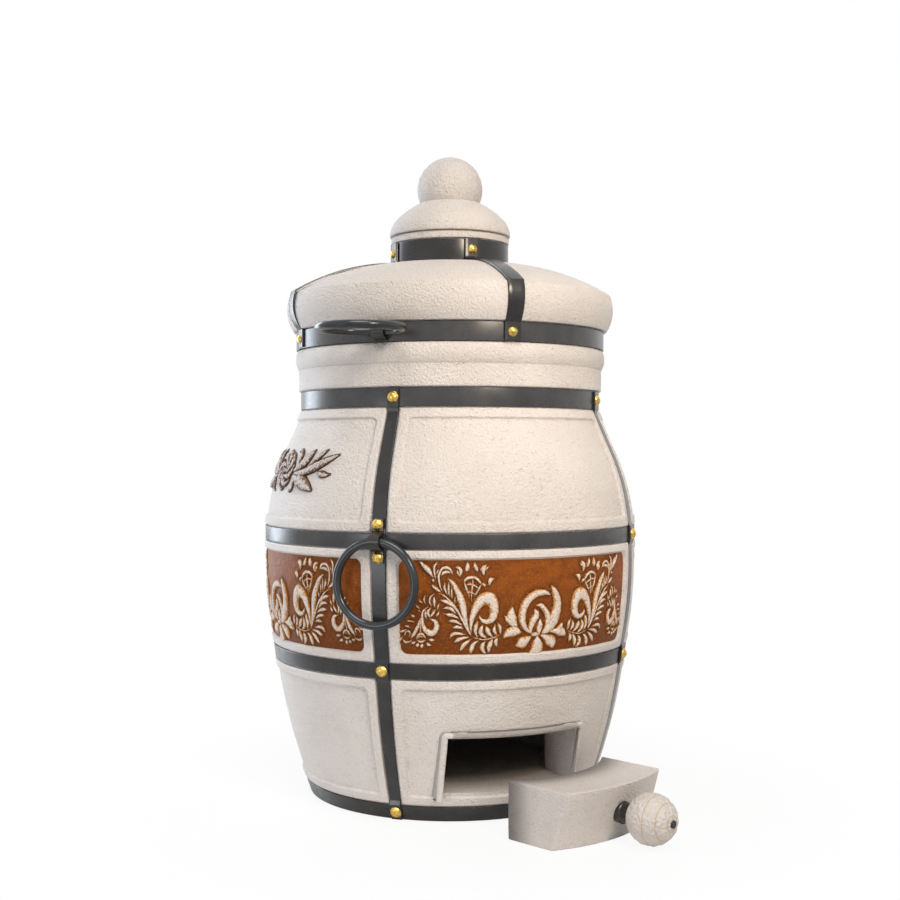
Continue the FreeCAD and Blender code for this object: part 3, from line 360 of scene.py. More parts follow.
def hoop(low: Point, high: Point, thickness: float) -> Shape:
    """Flat steel hoop with eased edges, set a little into the clay.

    Args:
        low: Across and up of its lower edge, on the clay.
        high: Across and up of its upper edge, on the clay.
        thickness: How far it stands out.

    Returns:
        Points and faces.
    """
    (inner_low, foot), (inner_high, top) = low, high
    outline = [(inner_low - 1.0, foot, 0.0), (inner_low + thickness, foot, HOOP_EDGE),
               (inner_high + thickness, top, HOOP_EDGE), (inner_high - 1.0, top, 0.0)]
    return lathe(eased(outline), WIDE_STEPS, HOOP_UNEVEN)


def strip(stations: Sequence[Station], azimuth: float, thickness: float = 2.9,
          edge: float = 0.8) -> Shape:
    """Bent steel strip with eased edges, centred on an azimuth.

    Args:
        stations: Cross-sections from end to end.
        azimuth: Azimuth of its middle.
        thickness: Thickness of the strip.
        edge: Size of its eased edges.

    Returns:
        Points and faces.
    """
    out, side = outward(azimuth), tangent(azimuth)
    ease = 0.3 * edge
    points: list[Vector] = []
    for place in stations:
        half = place.width / 2.0
        normal = out * place.normal_across + UP * place.normal_up
        centre = out * place.across + UP * place.up
        left = [(-half, thickness), (-half, edge), (-half + ease, ease), (-half + edge, 0.0),
                (-half / 2.0, 0.0)]
        section = [*left, (0.0, 0.0), *[(-aside, deep) for aside, deep in reversed(left)]]
        points += [centre + side * aside - normal * deep for aside, deep in section]
    return points, woven(rows_of(len(section), len(points)))


# ---- finishes -----------------------------------------------------------------------------------

class Nodes:
    """Short calls for the nodes of one material or of the world."""

    def __init__(self, owner: bpy.types.Material | bpy.types.World) -> None:
        """Start from the owner's one shader.

        Args:
            owner: The material or the world, newly made.
        """
        owner.use_nodes = True
        self.tree = owner.node_tree
        self.shader = next(node for node in self.tree.nodes
                           if node.type in ("BSDF_PRINCIPLED", "BACKGROUND"))
        self.place = self.add("ShaderNodeTexCoord").outputs["Object"]

    def add(self, kind: str, **settings: object) -> bpy.types.Node:
        """Add a node and set its properties.

        Args:
            kind: Type of the node.
            settings: Its properties by name.

        Returns:
            The new node.
        """
        node = self.tree.nodes.new(kind)
        for setting, content in settings.items():
            setattr(node, setting, content)
        return node

    def link(self, source: bpy.types.NodeSocket, target: bpy.types.NodeSocket) -> None:
        """Join two sockets."""
        self.tree.links.new(source, target)

    def set(self, **values: object) -> None:
        """Set sockets of the shader, with spaces written as underscores."""
        for socket, content in values.items():
            self.shader.inputs[socket.replace("_", " ")].default_value = content

    def noise(self, scale: float, detail: float = 4.0,
              rough: float = 0.55) -> bpy.types.NodeSocket:
        """Noise over the object.

        Args:
            scale: Cells per metre.
            detail: Octaves of the noise.
            rough: Strength of its finer octaves.

        Returns:
            Its value, from 0 to 1.
        """
        node = self.add("ShaderNodeTexNoise")
        node.inputs["Scale"].default_value = scale
        node.inputs["Detail"].default_value = detail
        node.inputs["Roughness"].default_value = rough
        self.link(self.place, node.inputs["Vector"])
        return node.outputs["Fac"]

    def cells(self, scale: float) -> bpy.types.NodeSocket:
        """Scattered cells over the object.

        Args:
            scale: Cells per metre.

        Returns:
            Distance to the nearest cell's middle.
        """
        node = self.add("ShaderNodeTexVoronoi")
        node.inputs["Scale"].default_value = scale
        self.link(self.place, node.inputs["Vector"])
        return node.outputs["Distance"]

    def mark(self, name: str) -> bpy.types.NodeSocket:
        """A value that the mesh carries at its points."""
        return self.add("ShaderNodeAttribute", attribute_name=name).outputs["Fac"]

    def span(self, source: bpy.types.NodeSocket, low: float, high: float, to_low: float = 0.0,
             to_high: float = 1.0) -> bpy.types.NodeSocket:
        """Stretch a range of values to another.

        Args:
            source: The values.
            low: Lower end of their range.
            high: Upper end of their range.
            to_low: What the lower end becomes.
            to_high: What the upper end becomes.

        Returns:
            The stretched values.
        """
        node = self.add("ShaderNodeMapRange")
        for index, number in enumerate((low, high, to_low, to_high), start=1):
            node.inputs[index].default_value = number
        self.link(source, node.inputs[0])
        return node.outputs[0]

    def work(self, operation: str, first: bpy.types.NodeSocket,
             second: bpy.types.NodeSocket | float) -> bpy.types.NodeSocket:
        """Arithmetic on two values.

        Args:
            operation: Name of the operation.
            first: First value.
            second: Second value.

        Returns:
            The result.
        """
        node = self.add("ShaderNodeMath", operation=operation)
        self.link(first, node.inputs[0])
        if isinstance(second, float):
            node.inputs[1].default_value = second
        else:
            self.link(second, node.inputs[1])
        return node.outputs[0]

    def mix(self, share: bpy.types.NodeSocket, first: Colour | bpy.types.NodeSocket,
            second: Colour | bpy.types.NodeSocket) -> bpy.types.NodeSocket:
        """Blend two colours.

        Args:
            share: Share of the second colour.
            first: First colour.
            second: Second colour.

        Returns:
            The blend.
        """
        node = self.add("ShaderNodeMix", data_type="RGBA")
        self.link(share, node.inputs[0])
        for index, colour in ((6, first), (7, second)):
            if isinstance(colour, tuple):
                node.inputs[index].default_value = (*colour, 1.0)
            else:
                self.link(colour, node.inputs[index])
        return node.outputs[2]

    def paint(self, colour: bpy.types.NodeSocket, rough: bpy.types.NodeSocket) -> None:
        """Give the shader its colour and roughness."""
        self.link(colour, self.shader.inputs["Base Color"])
        self.link(rough, self.shader.inputs["Roughness"])

    def clouds(self, scale: float, detail: float, reach: Point, first: Colour,
               second: Colour) -> bpy.types.NodeSocket:
        """Two colours in soft clouds.

        Args:
            scale: Cells per metre.
            detail: Octaves of the noise.
            reach: Noise values at which the first colour ends and the second is pure.
            first: First colour.
            second: Second colour.

        Returns:
            The clouded colour.
        """
        return self.mix(self.span(self.noise(scale, detail), *reach), first, second)

    def gloss(self, scale: float, low: float, high: float) -> bpy.types.NodeSocket:
        """Roughness that wanders between two values over the object."""
        return self.span(self.noise(scale, 3.0), 0.3, 0.7, low, high)

    def bump(self, height: bpy.types.NodeSocket, depth: float) -> None:
        """Add a fine relief to the surface.

        Args:
            height: The relief, from 0 to 1.
            depth: Its height in millimetres.
        """
        node = self.add("ShaderNodeBump")
        node.inputs["Distance"].default_value = depth * MM
        self.link(height, node.inputs["Height"])
        before = self.shader.inputs["Normal"]
        if before.is_linked:
            self.link(before.links[0].from_socket, node.inputs["Normal"])
        self.link(node.outputs["Normal"], before)


class Finish:
    """A material recipe."""

    name: str

    def build(self) -> bpy.types.Material:
        """Make the material.

        Returns:
            The material.
        """
        material = bpy.data.materials.new(self.name)
        self.mix(Nodes(material))
        return material

    def mix(self, nodes: Nodes) -> None:
        """Mix the finish from the nodes of its material."""
        raise NotImplementedError


@dataclass(frozen=True)
class FiredClay(Finish):
    """Unglazed fired clay: warm white, finely pitted, with painted shade in its recesses and
    hollows.
    """

    name: str = "fired_clay"
    pale: Colour = (0.82, 0.768, 0.728)
    shade: Colour = (0.745, 0.688, 0.645)
    earth_and_recess_shade: Colour = (0.50, 0.395, 0.31)
    soot: Colour = (0.055, 0.046, 0.040)
    pit_depth: float = 1.3

    def mix(self, nodes: Nodes) -> None:
        """Mix the clay from cloudy tones, small pits, and marks of painted shade and soot on its
        meshes.

        Args:
            nodes: Nodes of the material.
        """
        colour = nodes.clouds(9.0, 5.0, (0.35, 0.72), self.pale, self.shade)
        speck = nodes.span(nodes.noise(330.0, 2.0), 0.64, 0.72, 0.0, 0.75)
        colour = nodes.mix(speck, colour, self.earth_and_recess_shade)
        # Painted shade: a brownish band at the foot of each recess slope, broken up by noise.
        recess = nodes.work("MULTIPLY", nodes.mark("recess"),
                            nodes.span(nodes.noise(60.0, 3.0), 0.35, 0.7, 0.0, 0.22))
        colour = nodes.mix(recess, colour, self.earth_and_recess_shade)
        # Soot and painted shade: near-black where the meshes carry this mark, as in the jar's
        # hollow and the ash chamber.
        colour = nodes.mix(nodes.mark("soot"), colour, self.soot)
        nodes.paint(colour, nodes.gloss(120.0, 0.40, 0.54))
        nodes.set(IOR=1.42)
        grain = nodes.span(nodes.noise(290.0, 3.0, 0.62), 0.36, 0.70)
        pits = nodes.span(nodes.cells(130.0), 0.03, 0.20)
        nodes.bump(nodes.noise(40.0, 3.0), 0.45)
        nodes.bump(nodes.work("ADD", grain, pits), self.pit_depth)


@dataclass(frozen=True)
class BrownGlaze(Finish):
    """Mottled brown glaze with a leathery surface."""

    name: str = "brown_glaze"
    amber: Colour = (0.31, 0.084, 0.011)
    umber: Colour = (0.19, 0.050, 0.008)
    deep_umber: Colour = (0.135, 0.034, 0.005)
    honey: Colour = (0.46, 0.21, 0.06)

    def mix(self, nodes: Nodes) -> None:
        """Mix the glaze, darker towards the bottom of each field and next to the strokes.

        Args:
            nodes: Nodes of the material.
        """
        mottle = nodes.span(nodes.noise(70.0, 5.0, 0.65), 0.34, 0.68)
        colour = nodes.mix(mottle, self.amber, self.umber)
        # Darker towards the bottom of each field and next to the strokes, where the mesh marks it.
        colour = nodes.mix(nodes.mark("pooled"), colour, self.deep_umber)
        grains = nodes.span(nodes.noise(430.0, 2.0), 0.56, 0.70, 0.0, 0.40)
        colour = nodes.mix(grains, colour, self.honey)
        nodes.paint(colour, nodes.gloss(160.0, 0.30, 0.46))
        nodes.set(IOR=1.2)
        nodes.bump(nodes.span(nodes.noise(240.0, 3.0, 0.6), 0.3, 0.7), 0.6)


@dataclass(frozen=True)
class WipedRelief(Finish):
    """Raised ornament: white clay on its crests, painted highlight on its flanks, pooled glaze and
    painted shade round its feet.
    """

    name: str = "wiped_relief"
    crest: Colour = (0.80, 0.745, 0.68)
    # The flank colour is thin glaze with a painted highlight; the foot colour is painted shade over
    # pooled glaze.
    flank_glaze_and_highlight: Colour = (0.56, 0.24, 0.05)
    foot: Colour = (0.050, 0.014, 0.003)
    wear: float = 0.40

    def mix(self, nodes: Nodes) -> None:
        """Mix painted shade, painted highlight and white crests from the height that the mesh
        carries, broken up by noise.

        Args:
            nodes: Nodes of the material.
        """
        worn = nodes.span(nodes.noise(260.0, 4.0, 0.7), 0.36, 0.64, -self.wear, 0.22)
        height = nodes.work("ADD", nodes.mark("crest"), worn)
        # Painted shade at the feet of the strokes, a painted highlight on their flanks, white clay
        # on their crests.
        colour = nodes.mix(nodes.span(nodes.mark("crest"), 0.02, 0.42), self.foot, self.flank_glaze_and_highlight)
        colour = nodes.mix(nodes.span(height, 0.48, 0.70), colour, self.crest)
        specks = nodes.span(nodes.noise(620.0, 2.0), 0.54, 0.62, 0.0, 0.8)
        colour = nodes.mix(specks, colour, self.flank_glaze_and_highlight)
        nodes.paint(colour, nodes.span(nodes.mark("crest"), 0.2, 0.9, 0.34, 0.56))
        nodes.set(IOR=1.3)
        nodes.bump(nodes.span(nodes.noise(340.0, 3.0, 0.6), 0.3, 0.7), 0.9)


@dataclass(frozen=True)
class BlackSteel(Finish):
    """Blackened steel with a satin oil finish."""

    name: str = "black_steel"
    dark: Colour = (0.019, 0.018, 0.018)
    light: Colour = (0.036, 0.035, 0.034)
    gloss: float = 0.24

    def mix(self, nodes: Nodes) -> None:
        """Mix the steel from cloudy heat marks and a fine rolled surface.

        Args:
            nodes: Nodes of the material.
        """
        colour = nodes.clouds(26.0, 5.0, (0.3, 0.7), self.dark, self.light)
        nodes.paint(colour, nodes.gloss(45.0, self.gloss - 0.02, self.gloss + 0.05))
        nodes.set(Metallic=0.3, IOR=1.55)
        nodes.bump(nodes.noise(700.0, 2.0), 0.03)
        nodes.bump(nodes.noise(22.0, 2.0), 0.10)


@dataclass(frozen=True)
class Brass(Finish):
    """Hammered brass that has dulled in its hollows."""

    name: str = "brass"
    bright: Colour = (0.80, 0.55, 0.15)
    dull: Colour = (0.38, 0.22, 0.05)

    def mix(self, nodes: Nodes) -> None:
        """Mix the brass.

        Args:
            nodes: Nodes of the material.
        """
        colour = nodes.clouds(240.0, 4.0, (0.38, 0.72), self.bright, self.dull)
        nodes.paint(colour, nodes.gloss(300.0, 0.18, 0.36))
        nodes.set(Metallic=1.0)
        nodes.bump(nodes.noise(260.0, 2.0), 0.22)


@dataclass(frozen=True)
class CastIron(Finish):
    """Raw cast iron, grey where the fire has burnt it."""

    name: str = "cast_iron"
    raw: Colour = (0.045, 0.045, 0.047)
    burnt: Colour = (0.11, 0.095, 0.085)

    def mix(self, nodes: Nodes) -> None:
        """Mix the iron.

        Args:
            nodes: Nodes of the material.
        """
        colour = nodes.clouds(30.0, 5.0, (0.35, 0.7), self.raw, self.burnt)
        nodes.paint(colour, nodes.gloss(200.0, 0.55, 0.8))
        nodes.set(Metallic=0.6)
        nodes.bump(nodes.noise(500.0, 3.0, 0.7), 0.4)


@dataclass(frozen=True)
class TurnedClay(Finish):
    """The turned knob of the plug: creamy clay with gilt lines where the mesh marks them."""

    name: str = "turned_clay"
    cream: Colour = (0.74, 0.685, 0.645)
    worn: Colour = (0.68, 0.62, 0.575)
    gilt: Colour = (0.58, 0.42, 0.20)

    def mix(self, nodes: Nodes) -> None:
        """Mix the knob's clay.

        Args:
            nodes: Nodes of the material.
        """
        colour = nodes.clouds(40.0, 4.0, (0.35, 0.7), self.cream, self.worn)
        colour = nodes.mix(nodes.mark("gilt"), colour, self.gilt)
        nodes.paint(colour, nodes.gloss(150.0, 0.42, 0.58))
        nodes.bump(nodes.span(nodes.noise(190.0, 3.0, 0.6), 0.3, 0.7), 1.3)


CLAY = FiredClay()
GLAZE = BrownGlaze()
RELIEF = WipedRelief()
# The rosette's recipe in darker colours, with the same painted highlight on the flanks and painted
# shade at the feet.
DARK_RELIEF = WipedRelief("stained_relief", (0.72, 0.665, 0.64), (0.17, 0.085, 0.045),
                          (0.035, 0.016, 0.010), 0.50)
STEEL = BlackSteel()
# Lighter copy of the steel: painted sheen that stands in for the reflection on the upper bands.
PAINTED_SHEEN_BAND_STEEL = BlackSteel("band_steel", (0.036, 0.036, 0.037), (0.062, 0.061, 0.062), 0.27)
RING_STEEL = BlackSteel("ring_steel", (0.015, 0.017, 0.019), (0.030, 0.033, 0.037), 0.18)
BRASS = Brass()
IRON = CastIron()
KNOB = TurnedClay()


# ---- the wall -----------------------------------------------------------------------------------

@dataclass(frozen=True)
class Zone:
    """A stretch of the wall between two hoops: the bed's arc and what stands on it."""

    low_across: float
    low: float
    high_across: float
    high: float
    bulge: float
    border: float
    depth: float
    corner: float = 10.0
    uneven: float = 0.45
    top: float = 0.0
    top_across: float = 0.0

    def across(self, up: float) -> float:
        """Distance of the bed from the axis.

        Args:
            up: Height in the zone.

        Returns:
            The distance there.
        """
        if up > self.high and self.top:
            share = (up - self.high) / (self.top - self.high)
            return self.high_across + (self.top_across - self.high_across) * share
        share = (up - self.low) / (self.high - self.low)
        return (self.low_across + (self.high_across - self.low_across) * share
                + 4.0 * self.bulge * share * (1.0 - share))

    @property
    def end(self) -> float:
        """Height of the zone's upper end."""
        return self.top or self.high


@dataclass(frozen=True)
class Cage:
    """Places of the hoops and straps."""

    foot: float = 1.5
    bottom: Point = (1.5, 24.0)
    lower: Point = (217.0, 239.0)
    middle: Point = (404.0, 426.0)
    top: Point = (608.3, 636.3)
    foot_across: float = 222.05
    top_across: float = 238.0
    turn: float = 2.6
    channel_angle: float = 5.0
    strap_angle: float = 4.2
    hoop_thickness: float = 3.5
    strap_thickness: float = 3.0
    hinge: float = 134.0
    hinge_rivets: Point = (-17.0, 17.0)

    def strap_azimuths(self) -> list[float]:
        """Azimuths of the four straps."""
        return [self.turn - 45.0 + 90.0 * quarter for quarter in range(4)]

    def off_strap(self, azimuth: float) -> float:
        """Angle between an azimuth and the nearest strap's middle."""
        return abs((azimuth - self.turn) % 90.0 - 45.0)


CAGE = Cage()
LOWER = Zone(230.55, 25.5, 278.3, 215.5, 5.7, border=12.0, depth=3.6)
BELT = Zone(281.7, 240.5, 294.7, 402.5, 5.1, border=10.5, depth=5.4, corner=14.0, uneven=0.07)
UPPER = Zone(294.7, 427.5, 264.0, 547.0, 6.0, border=13.0, depth=3.6, top=606.8, top_across=238.0)
ZONES = (LOWER, BELT, UPPER)
BEDS = ((CAGE.foot, CAGE.foot_across), (LOWER.low, LOWER.low_across),
        (LOWER.high, LOWER.high_across), (BELT.low, BELT.low_across),
        (BELT.high, BELT.high_across), (UPPER.low, UPPER.low_across), (UPPER.end, UPPER.top_across))


def bed(up: float) -> float:
    """Distance of the bed line from the axis.

    Args:
        up: Height on the jar.

    Returns:
        The distance there.
    """
    for zone in ZONES:
        if zone.low <= up <= zone.end:
            return zone.across(up)
    if up >= UPPER.end:
        return CAGE.top_across
    for (low, low_across), (high, high_across) in zip(BEDS, BEDS[1:]):
        if low <= up <= high:
            return low_across + (high_across - low_across) * (up - low) / (high - low)
    return CAGE.foot_across


def plain(distance: float) -> Profile:
    """Profile of a round row: the same distance from the axis at each azimuth, and no painted
    recess shade.
    """
    return lambda azimuth: (distance, 0.0)


@dataclass
class Skin:
    """Points, marks and faces of the jar, gathered row by row over its columns."""

    columns: list[float]
    points: list[Vector] = field(default_factory=list)
    recess: list[float] = field(default_factory=list)
    soot: list[float] = field(default_factory=list)
    grid: list[list[int]] = field(default_factory=list)
    faces: list[list[int]] = field(default_factory=list)

    def add(self, spot: Vector, recess: float, soot: float) -> int:
        """Add a point with its marks.

        Args:
            spot: The point.
            recess: Painted shade at the foot of a recess slope, from 0 to 1.
            soot: Soot and painted shade, from 0 to 1.

        Returns:
            Number of the point.
        """
        self.points.append(spot)
        self.recess.append(recess)
        self.soot.append(soot)
        return len(self.points) - 1

    def column(self, azimuth: float) -> int:
        """Number of the column at an azimuth."""
        return min(range(len(self.columns)), key=lambda index: abs(self.columns[index] - azimuth))


@dataclass
class Jar:
    """The clay jar: panels between the hoops, ash opening, neck, lip and the hollow inside."""

    border_rise: float = 3.88
    side_border_angle: float = 2.6
    edge_radius: float = 2.6
    edge_step: float = 0.35
    slope: float = 3.6
    opening_half: float = 105.5
    opening_azimuth: float = 25.0
    sill: float = 46.0
    opening_top: float = 132.0
    neck_across: float = 244.5
    neck_foot: float = 637.8
    lip_foot: float = 672.0
    lip: float = 703.0
    lip_across: float = 246.5
    lip_bulge: float = 3.3
    mouth_across: float = 188.5
    belly_across: float = 243.7
    ledge: float = 160.0
    ledge_across: float = 195.0
    chamber_across: float = 170.0
    pot_bulge: float = 12.0
    tunnel_steps: int = 8

    def rim(self, inside: float) -> float:
        """Height of a panel's rounded edge.

        Args:
            inside: Distance inside the panel.

        Returns:
            Its height over the bed.
        """
        if inside <= 0.0:
            return 0.0
        radius, rise = self.edge_radius, self.border_rise
        if inside >= radius:
            return rise
        rounded = rise - radius + math.sqrt(radius ** 2 - (radius - inside) ** 2)
        return min(rounded, rounded * inside / self.edge_step)

    def height(self, zone: Zone, azimuth: float, up: float) -> tuple[float, float]:
        """Height of the clay over the bed, and its mark for painted recess shade.

        Args:
            zone: The zone of the wall.
            azimuth: Azimuth of the place.
            up: Height of the place.

        Returns:
            The height in millimetres, and the painted-shade mark from 0 to 1.
        """
        degree = math.radians(zone.across(up))
        beside = (CAGE.off_strap(azimuth) - CAGE.channel_angle / 2.0) * degree
        along = min(up - zone.low, zone.end - up)
        side = beside - self.side_border_angle * degree
        end = along - zone.border
        if side < zone.corner and end < zone.corner:
            inside = zone.corner - math.hypot(zone.corner - side, zone.corner - end)
        else:
            inside = min(side, end)
        sunk = smooth(0.0, self.slope, inside)
        # Painted shade: the mark is strongest at the foot of the recess slope, inside the field.
        recess = smooth(0.2, 0.5 * self.slope, inside) * (1.0 - smooth(self.slope, 9.0, inside))
        return self.rim(min(beside, along)) - zone.depth * sunk, recess

    def side_lines(self) -> list[float]:
        """Columns of the mesh, dense at the edges of channels and fields.

        Returns:
            Their azimuths, all round.
        """
        near = [0.0, 1.25, 2.44, 2.5, 2.57, 2.66, 2.8, 3.02, 3.6, 4.5, 5.0]
        near += [5.1 + 0.25 * step for step in range(10)]
        clear, pitch, half = 7.6, 1.4, self.opening_azimuth
        lines: list[float] = []
        for quarter, strap in enumerate(CAGE.strap_azimuths()):
            first, last = strap + clear, strap + 90.0 - clear
            stops = [first, -half, half, last] if quarter == 0 else [first, last]
            lines += [strap + angle for angle in near]
            for start, end in zip(stops, stops[1:]):
                lines += spread(start, end, pitch)
            lines += [strap + 90.0 - angle for angle in reversed(near[1:])]
        return lines

    def warp(self, azimuth: float, across: float, share: float) -> float:
        """Move a column so that the opening's sides lie in straight planes.

        Args:
            azimuth: Nominal azimuth of the column.
            across: Distance from the axis of the surface there.
            share: How far the warp applies, from 0 to 1.

        Returns:
            The azimuth to use.
        """
        half = self.opening_azimuth
        wanted = math.degrees(math.asin(self.opening_half / across))
        far = 45.0 if wanted > 33.0 else 34.0
        size = abs(azimuth)
        if size >= far:
            return azimuth
        moved = (size / half * wanted if size <= half
                 else wanted + (size - half) / (far - half) * (far - wanted))
        return math.copysign(size + (moved - size) * share, azimuth)

    def zone_rows(self, zone: Zone) -> list[float]:
        """Rows of the mesh, dense at the edges of the panels and fields.

        Args:
            zone: The zone of the wall.

        Returns:
            Their heights, upwards.
        """
        fine = 1.25
        near = [0.0, 0.12, 0.35, 0.8, 1.5, 2.6, zone.border - 0.4]
        near += [zone.border + fine * step for step in range(9)]
        first, last = zone.low + near[-1] + fine, zone.end - near[-1] - fine
        middle = spread(first, last, 7.0) + [last]
        if zone is LOWER:
            middle = [up for up in middle
                      if min(abs(up - self.sill), abs(up - self.opening_top)) > 3.0]
            middle = sorted(middle + [self.opening_top + step for step in (-2.0, 0.0, 2.0)])
        rows = ([zone.low + step for step in near] + middle
                + [zone.end - step for step in reversed(near)])
        if zone is LOWER:
            rows = sorted(set(up for up in rows if abs(up - self.sill) > 0.6) | {self.sill})
        return rows

    def inner_line(self) -> list[Point]:
        """The hollow from the lip down to the ledge, without the chamber's wall.

        Returns:
            Across and up of its points, downwards.
        """
        middle = 415.0
        line = eased([(self.lip_across - 20.0, self.lip, 0.0), (self.mouth_across, self.lip, 6.0),
                      (self.mouth_across, self.neck_foot, 0.0)])[1:]
        via_up = ((self.mouth_across + self.belly_across) / 2.0 + self.pot_bulge,
                  (self.neck_foot + middle) / 2.0)
        via_low = ((self.ledge_across + self.belly_across) / 2.0 + self.pot_bulge,
                   (self.ledge + middle) / 2.0)
        line += arc(line[-1], via_up, (self.belly_across, middle), 9)[1:]
        line += arc((self.belly_across, middle), via_low, (self.ledge_across, self.ledge), 9)
        line += [(self.ledge_across, self.ledge + 2.0), (self.ledge_across - 2.0, self.ledge),
                 (self.chamber_across + 1.5, self.ledge), (self.chamber_across, self.ledge - 1.5)]
        return line

    def face(self, zone: Zone, up: float, azimuth: float) -> Point:
        """Distance of a panel's face from the axis, and its mark for painted recess shade."""
        rise, sunk = self.height(zone, azimuth, up)
        return zone.across(up) + rise, sunk

    def row(self, skin: Skin, profile: Profile, up: float, share: float = 0.0,
            dark: float = 0.0, wavy: float = 0.0) -> None:
        """Add one row of points all round.

        Args:
            skin: Skin that the row is added to.
            profile: Takes an azimuth to a distance from the axis and a mark for painted recess
                shade.
            up: Height of the row.
            share: How far its columns lean to the opening's sides, from 0 to 1.
            dark: Mark of the row for soot and painted shade.
            wavy: Size of its hand-made unevenness.
        """
        line = []
        for nominal in skin.columns:
            nominal = (nominal + 180.0) % 360.0 - 180.0
            azimuth = nominal
            distance, sunk = profile(azimuth)
            if share > 0.0:
                azimuth = self.warp(nominal, distance, share)
                distance, sunk = profile(azimuth)
                azimuth = self.warp(nominal, distance, share)
            spot = about(azimuth, distance, up)
            if wavy:
                spot += outward(azimuth) * wander(spot, 70.0, wavy)
            line.append(skin.add(spot, sunk, dark))
        skin.grid.append(line)

    def build(self, shop: Workshop) -> None:
        """Make the jar as one closed mesh with the ash opening through its wall.

        Args:
            shop: Workshop that makes the piece.
        """
        skin = Skin(self.side_lines())
        outer = self.panels(skin)
        self.neck(skin)
        inner = self.hollow(skin, outer)
        self.close(skin, outer, inner)
        self.tunnel(skin, outer, inner)
        item = shop.piece("jar", skin.points, skin.faces, CLAY, Slot.CLAY, Rides.OVEN, 50.0,
                          {"recess": skin.recess, "soot": skin.soot})
        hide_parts("clay_base", "clay_barrel", "clay_neck", "floor_slab")

    def panels(self, skin: Skin) -> list[int]:
        """Add the foot and the panels between the hoops.

        Args:
            skin: Skin that the rows are added to.

        Returns:
            Numbers of the rows from the opening's sill to its top.
        """
        self.row(skin, plain(CAGE.foot_across - 2.0), 0.0, 1.0)
        self.row(skin, plain(CAGE.foot_across), 0.8, 1.0)
        opening: list[int] = []
        for zone in ZONES:
            lowest = zone is LOWER
            under = zone.low - 0.7
            self.row(skin, plain(bed(under)), under, 1.0 if lowest else 0.0)
            for up in self.zone_rows(zone):
                share = 1.0 - smooth(160.0, 205.0, up) if lowest else 0.0
                inside = smooth(0.0, 5.0, min(up - zone.low, zone.end - up))
                if lowest and self.sill <= up <= self.opening_top:
                    opening.append(len(skin.grid))
                self.row(skin, partial(self.face, zone, up), up, share,
                         wavy=zone.uneven * inside)
        self.row(skin, plain(CAGE.top_across), UPPER.end + 0.7)
        return opening

    def neck(self, skin: Skin) -> None:
        """Add the neck and the rounded lip.

        Args:
            skin: Skin that the rows are added to.
        """
        neck = eased([(CAGE.top_across, self.neck_foot - 0.5, 0.0),
                      (CAGE.top_across, self.neck_foot, 0.0),
                      (self.neck_across, self.neck_foot, 2.5),
                      (self.neck_across, self.lip_foot - 0.6, 0.0),
                      (self.neck_across - 0.4, self.lip_foot - 0.5, 0.0),
                      (self.neck_across - 0.4, self.lip_foot, 0.0)])
        start, end = (self.lip_across - 1.4, self.lip_foot + 0.6), (self.lip_across, self.lip)
        via = (self.lip_across + self.lip_bulge, (self.lip_foot + self.lip) / 2.0)
        neck = neck + arc(start, via, end, 14) + [(self.lip_across - 0.8, self.lip - 0.15),
                                                  (self.lip_across - 2.5, self.lip)]
        for here, after in zip(neck, neck[1:] + neck[-1:]):
            rise = (after[0] - here[0], after[1] - here[1])
            steps = max(1, round(math.hypot(*rise) / 7.0)) if here[0] == self.neck_across else 1
            for step in range(steps):
                up = here[1] + rise[1] * step / steps
                self.row(skin, plain(here[0] + rise[0] * step / steps), up,
                         wavy=0.35 if up > self.neck_foot + 2.0 else 0.0)

    def hollow(self, skin: Skin, outer: Sequence[int]) -> list[int]:
        """Add the hollow and the ash chamber.

        Args:
            skin: Skin that the rows are added to.
            outer: Numbers of the outer rows beside the opening.

        Returns:
            Numbers of the chamber's rows at the same heights.
        """
        # Painted shade: the hollow darkens downwards from the lip, and the ash chamber's rows are
        # dark.
        for across, up in self.inner_line():
            dark = smooth(self.lip + 2.0, self.lip - 60.0, up)
            self.row(skin, plain(across), up, smooth(240.0, 170.0, up), dark)
        self.row(skin, plain(self.chamber_across), self.opening_top + 12.0, 1.0, 0.7)
        first = len(skin.grid)
        for line in reversed(outer):
            up = skin.points[skin.grid[line][0]].z
            self.row(skin, plain(self.chamber_across), up, 1.0, 0.28)
        return list(range(len(skin.grid) - 1, first - 1, -1))

    def close(self, skin: Skin, outer: Sequence[int], inner: Sequence[int]) -> None:
        """Add the faces between the rows but for the opening, and the underside and the floor.

        Args:
            skin: Skin that the faces are added to.
            outer: Numbers of the outer rows beside the opening.
            inner: Numbers of the chamber's rows beside it.
        """
        grid, count = skin.grid, len(skin.columns)
        gap = range(skin.column(-self.opening_azimuth), skin.column(self.opening_azimuth))
        pierced = {*outer[:-1], *inner[1:]}
        for low in range(len(grid) - 1):
            for column in range(count):
                if column in gap and low in pierced:
                    continue
                after = (column + 1) % count
                skin.faces.append([grid[low][column], grid[low][after], grid[low + 1][after],
                                   grid[low + 1][column]])
        # The underside stays clean; the middle of the ash chamber's floor takes painted shade.
        for line, up, dark in ((grid[0], 0.0, 0.0), (grid[-1], self.sill, 0.35)):
            centre = skin.add(UP * up, 0.0, dark)
            skin.faces += [[line[column], line[(column + 1) % count], centre]
                           for column in range(count)]

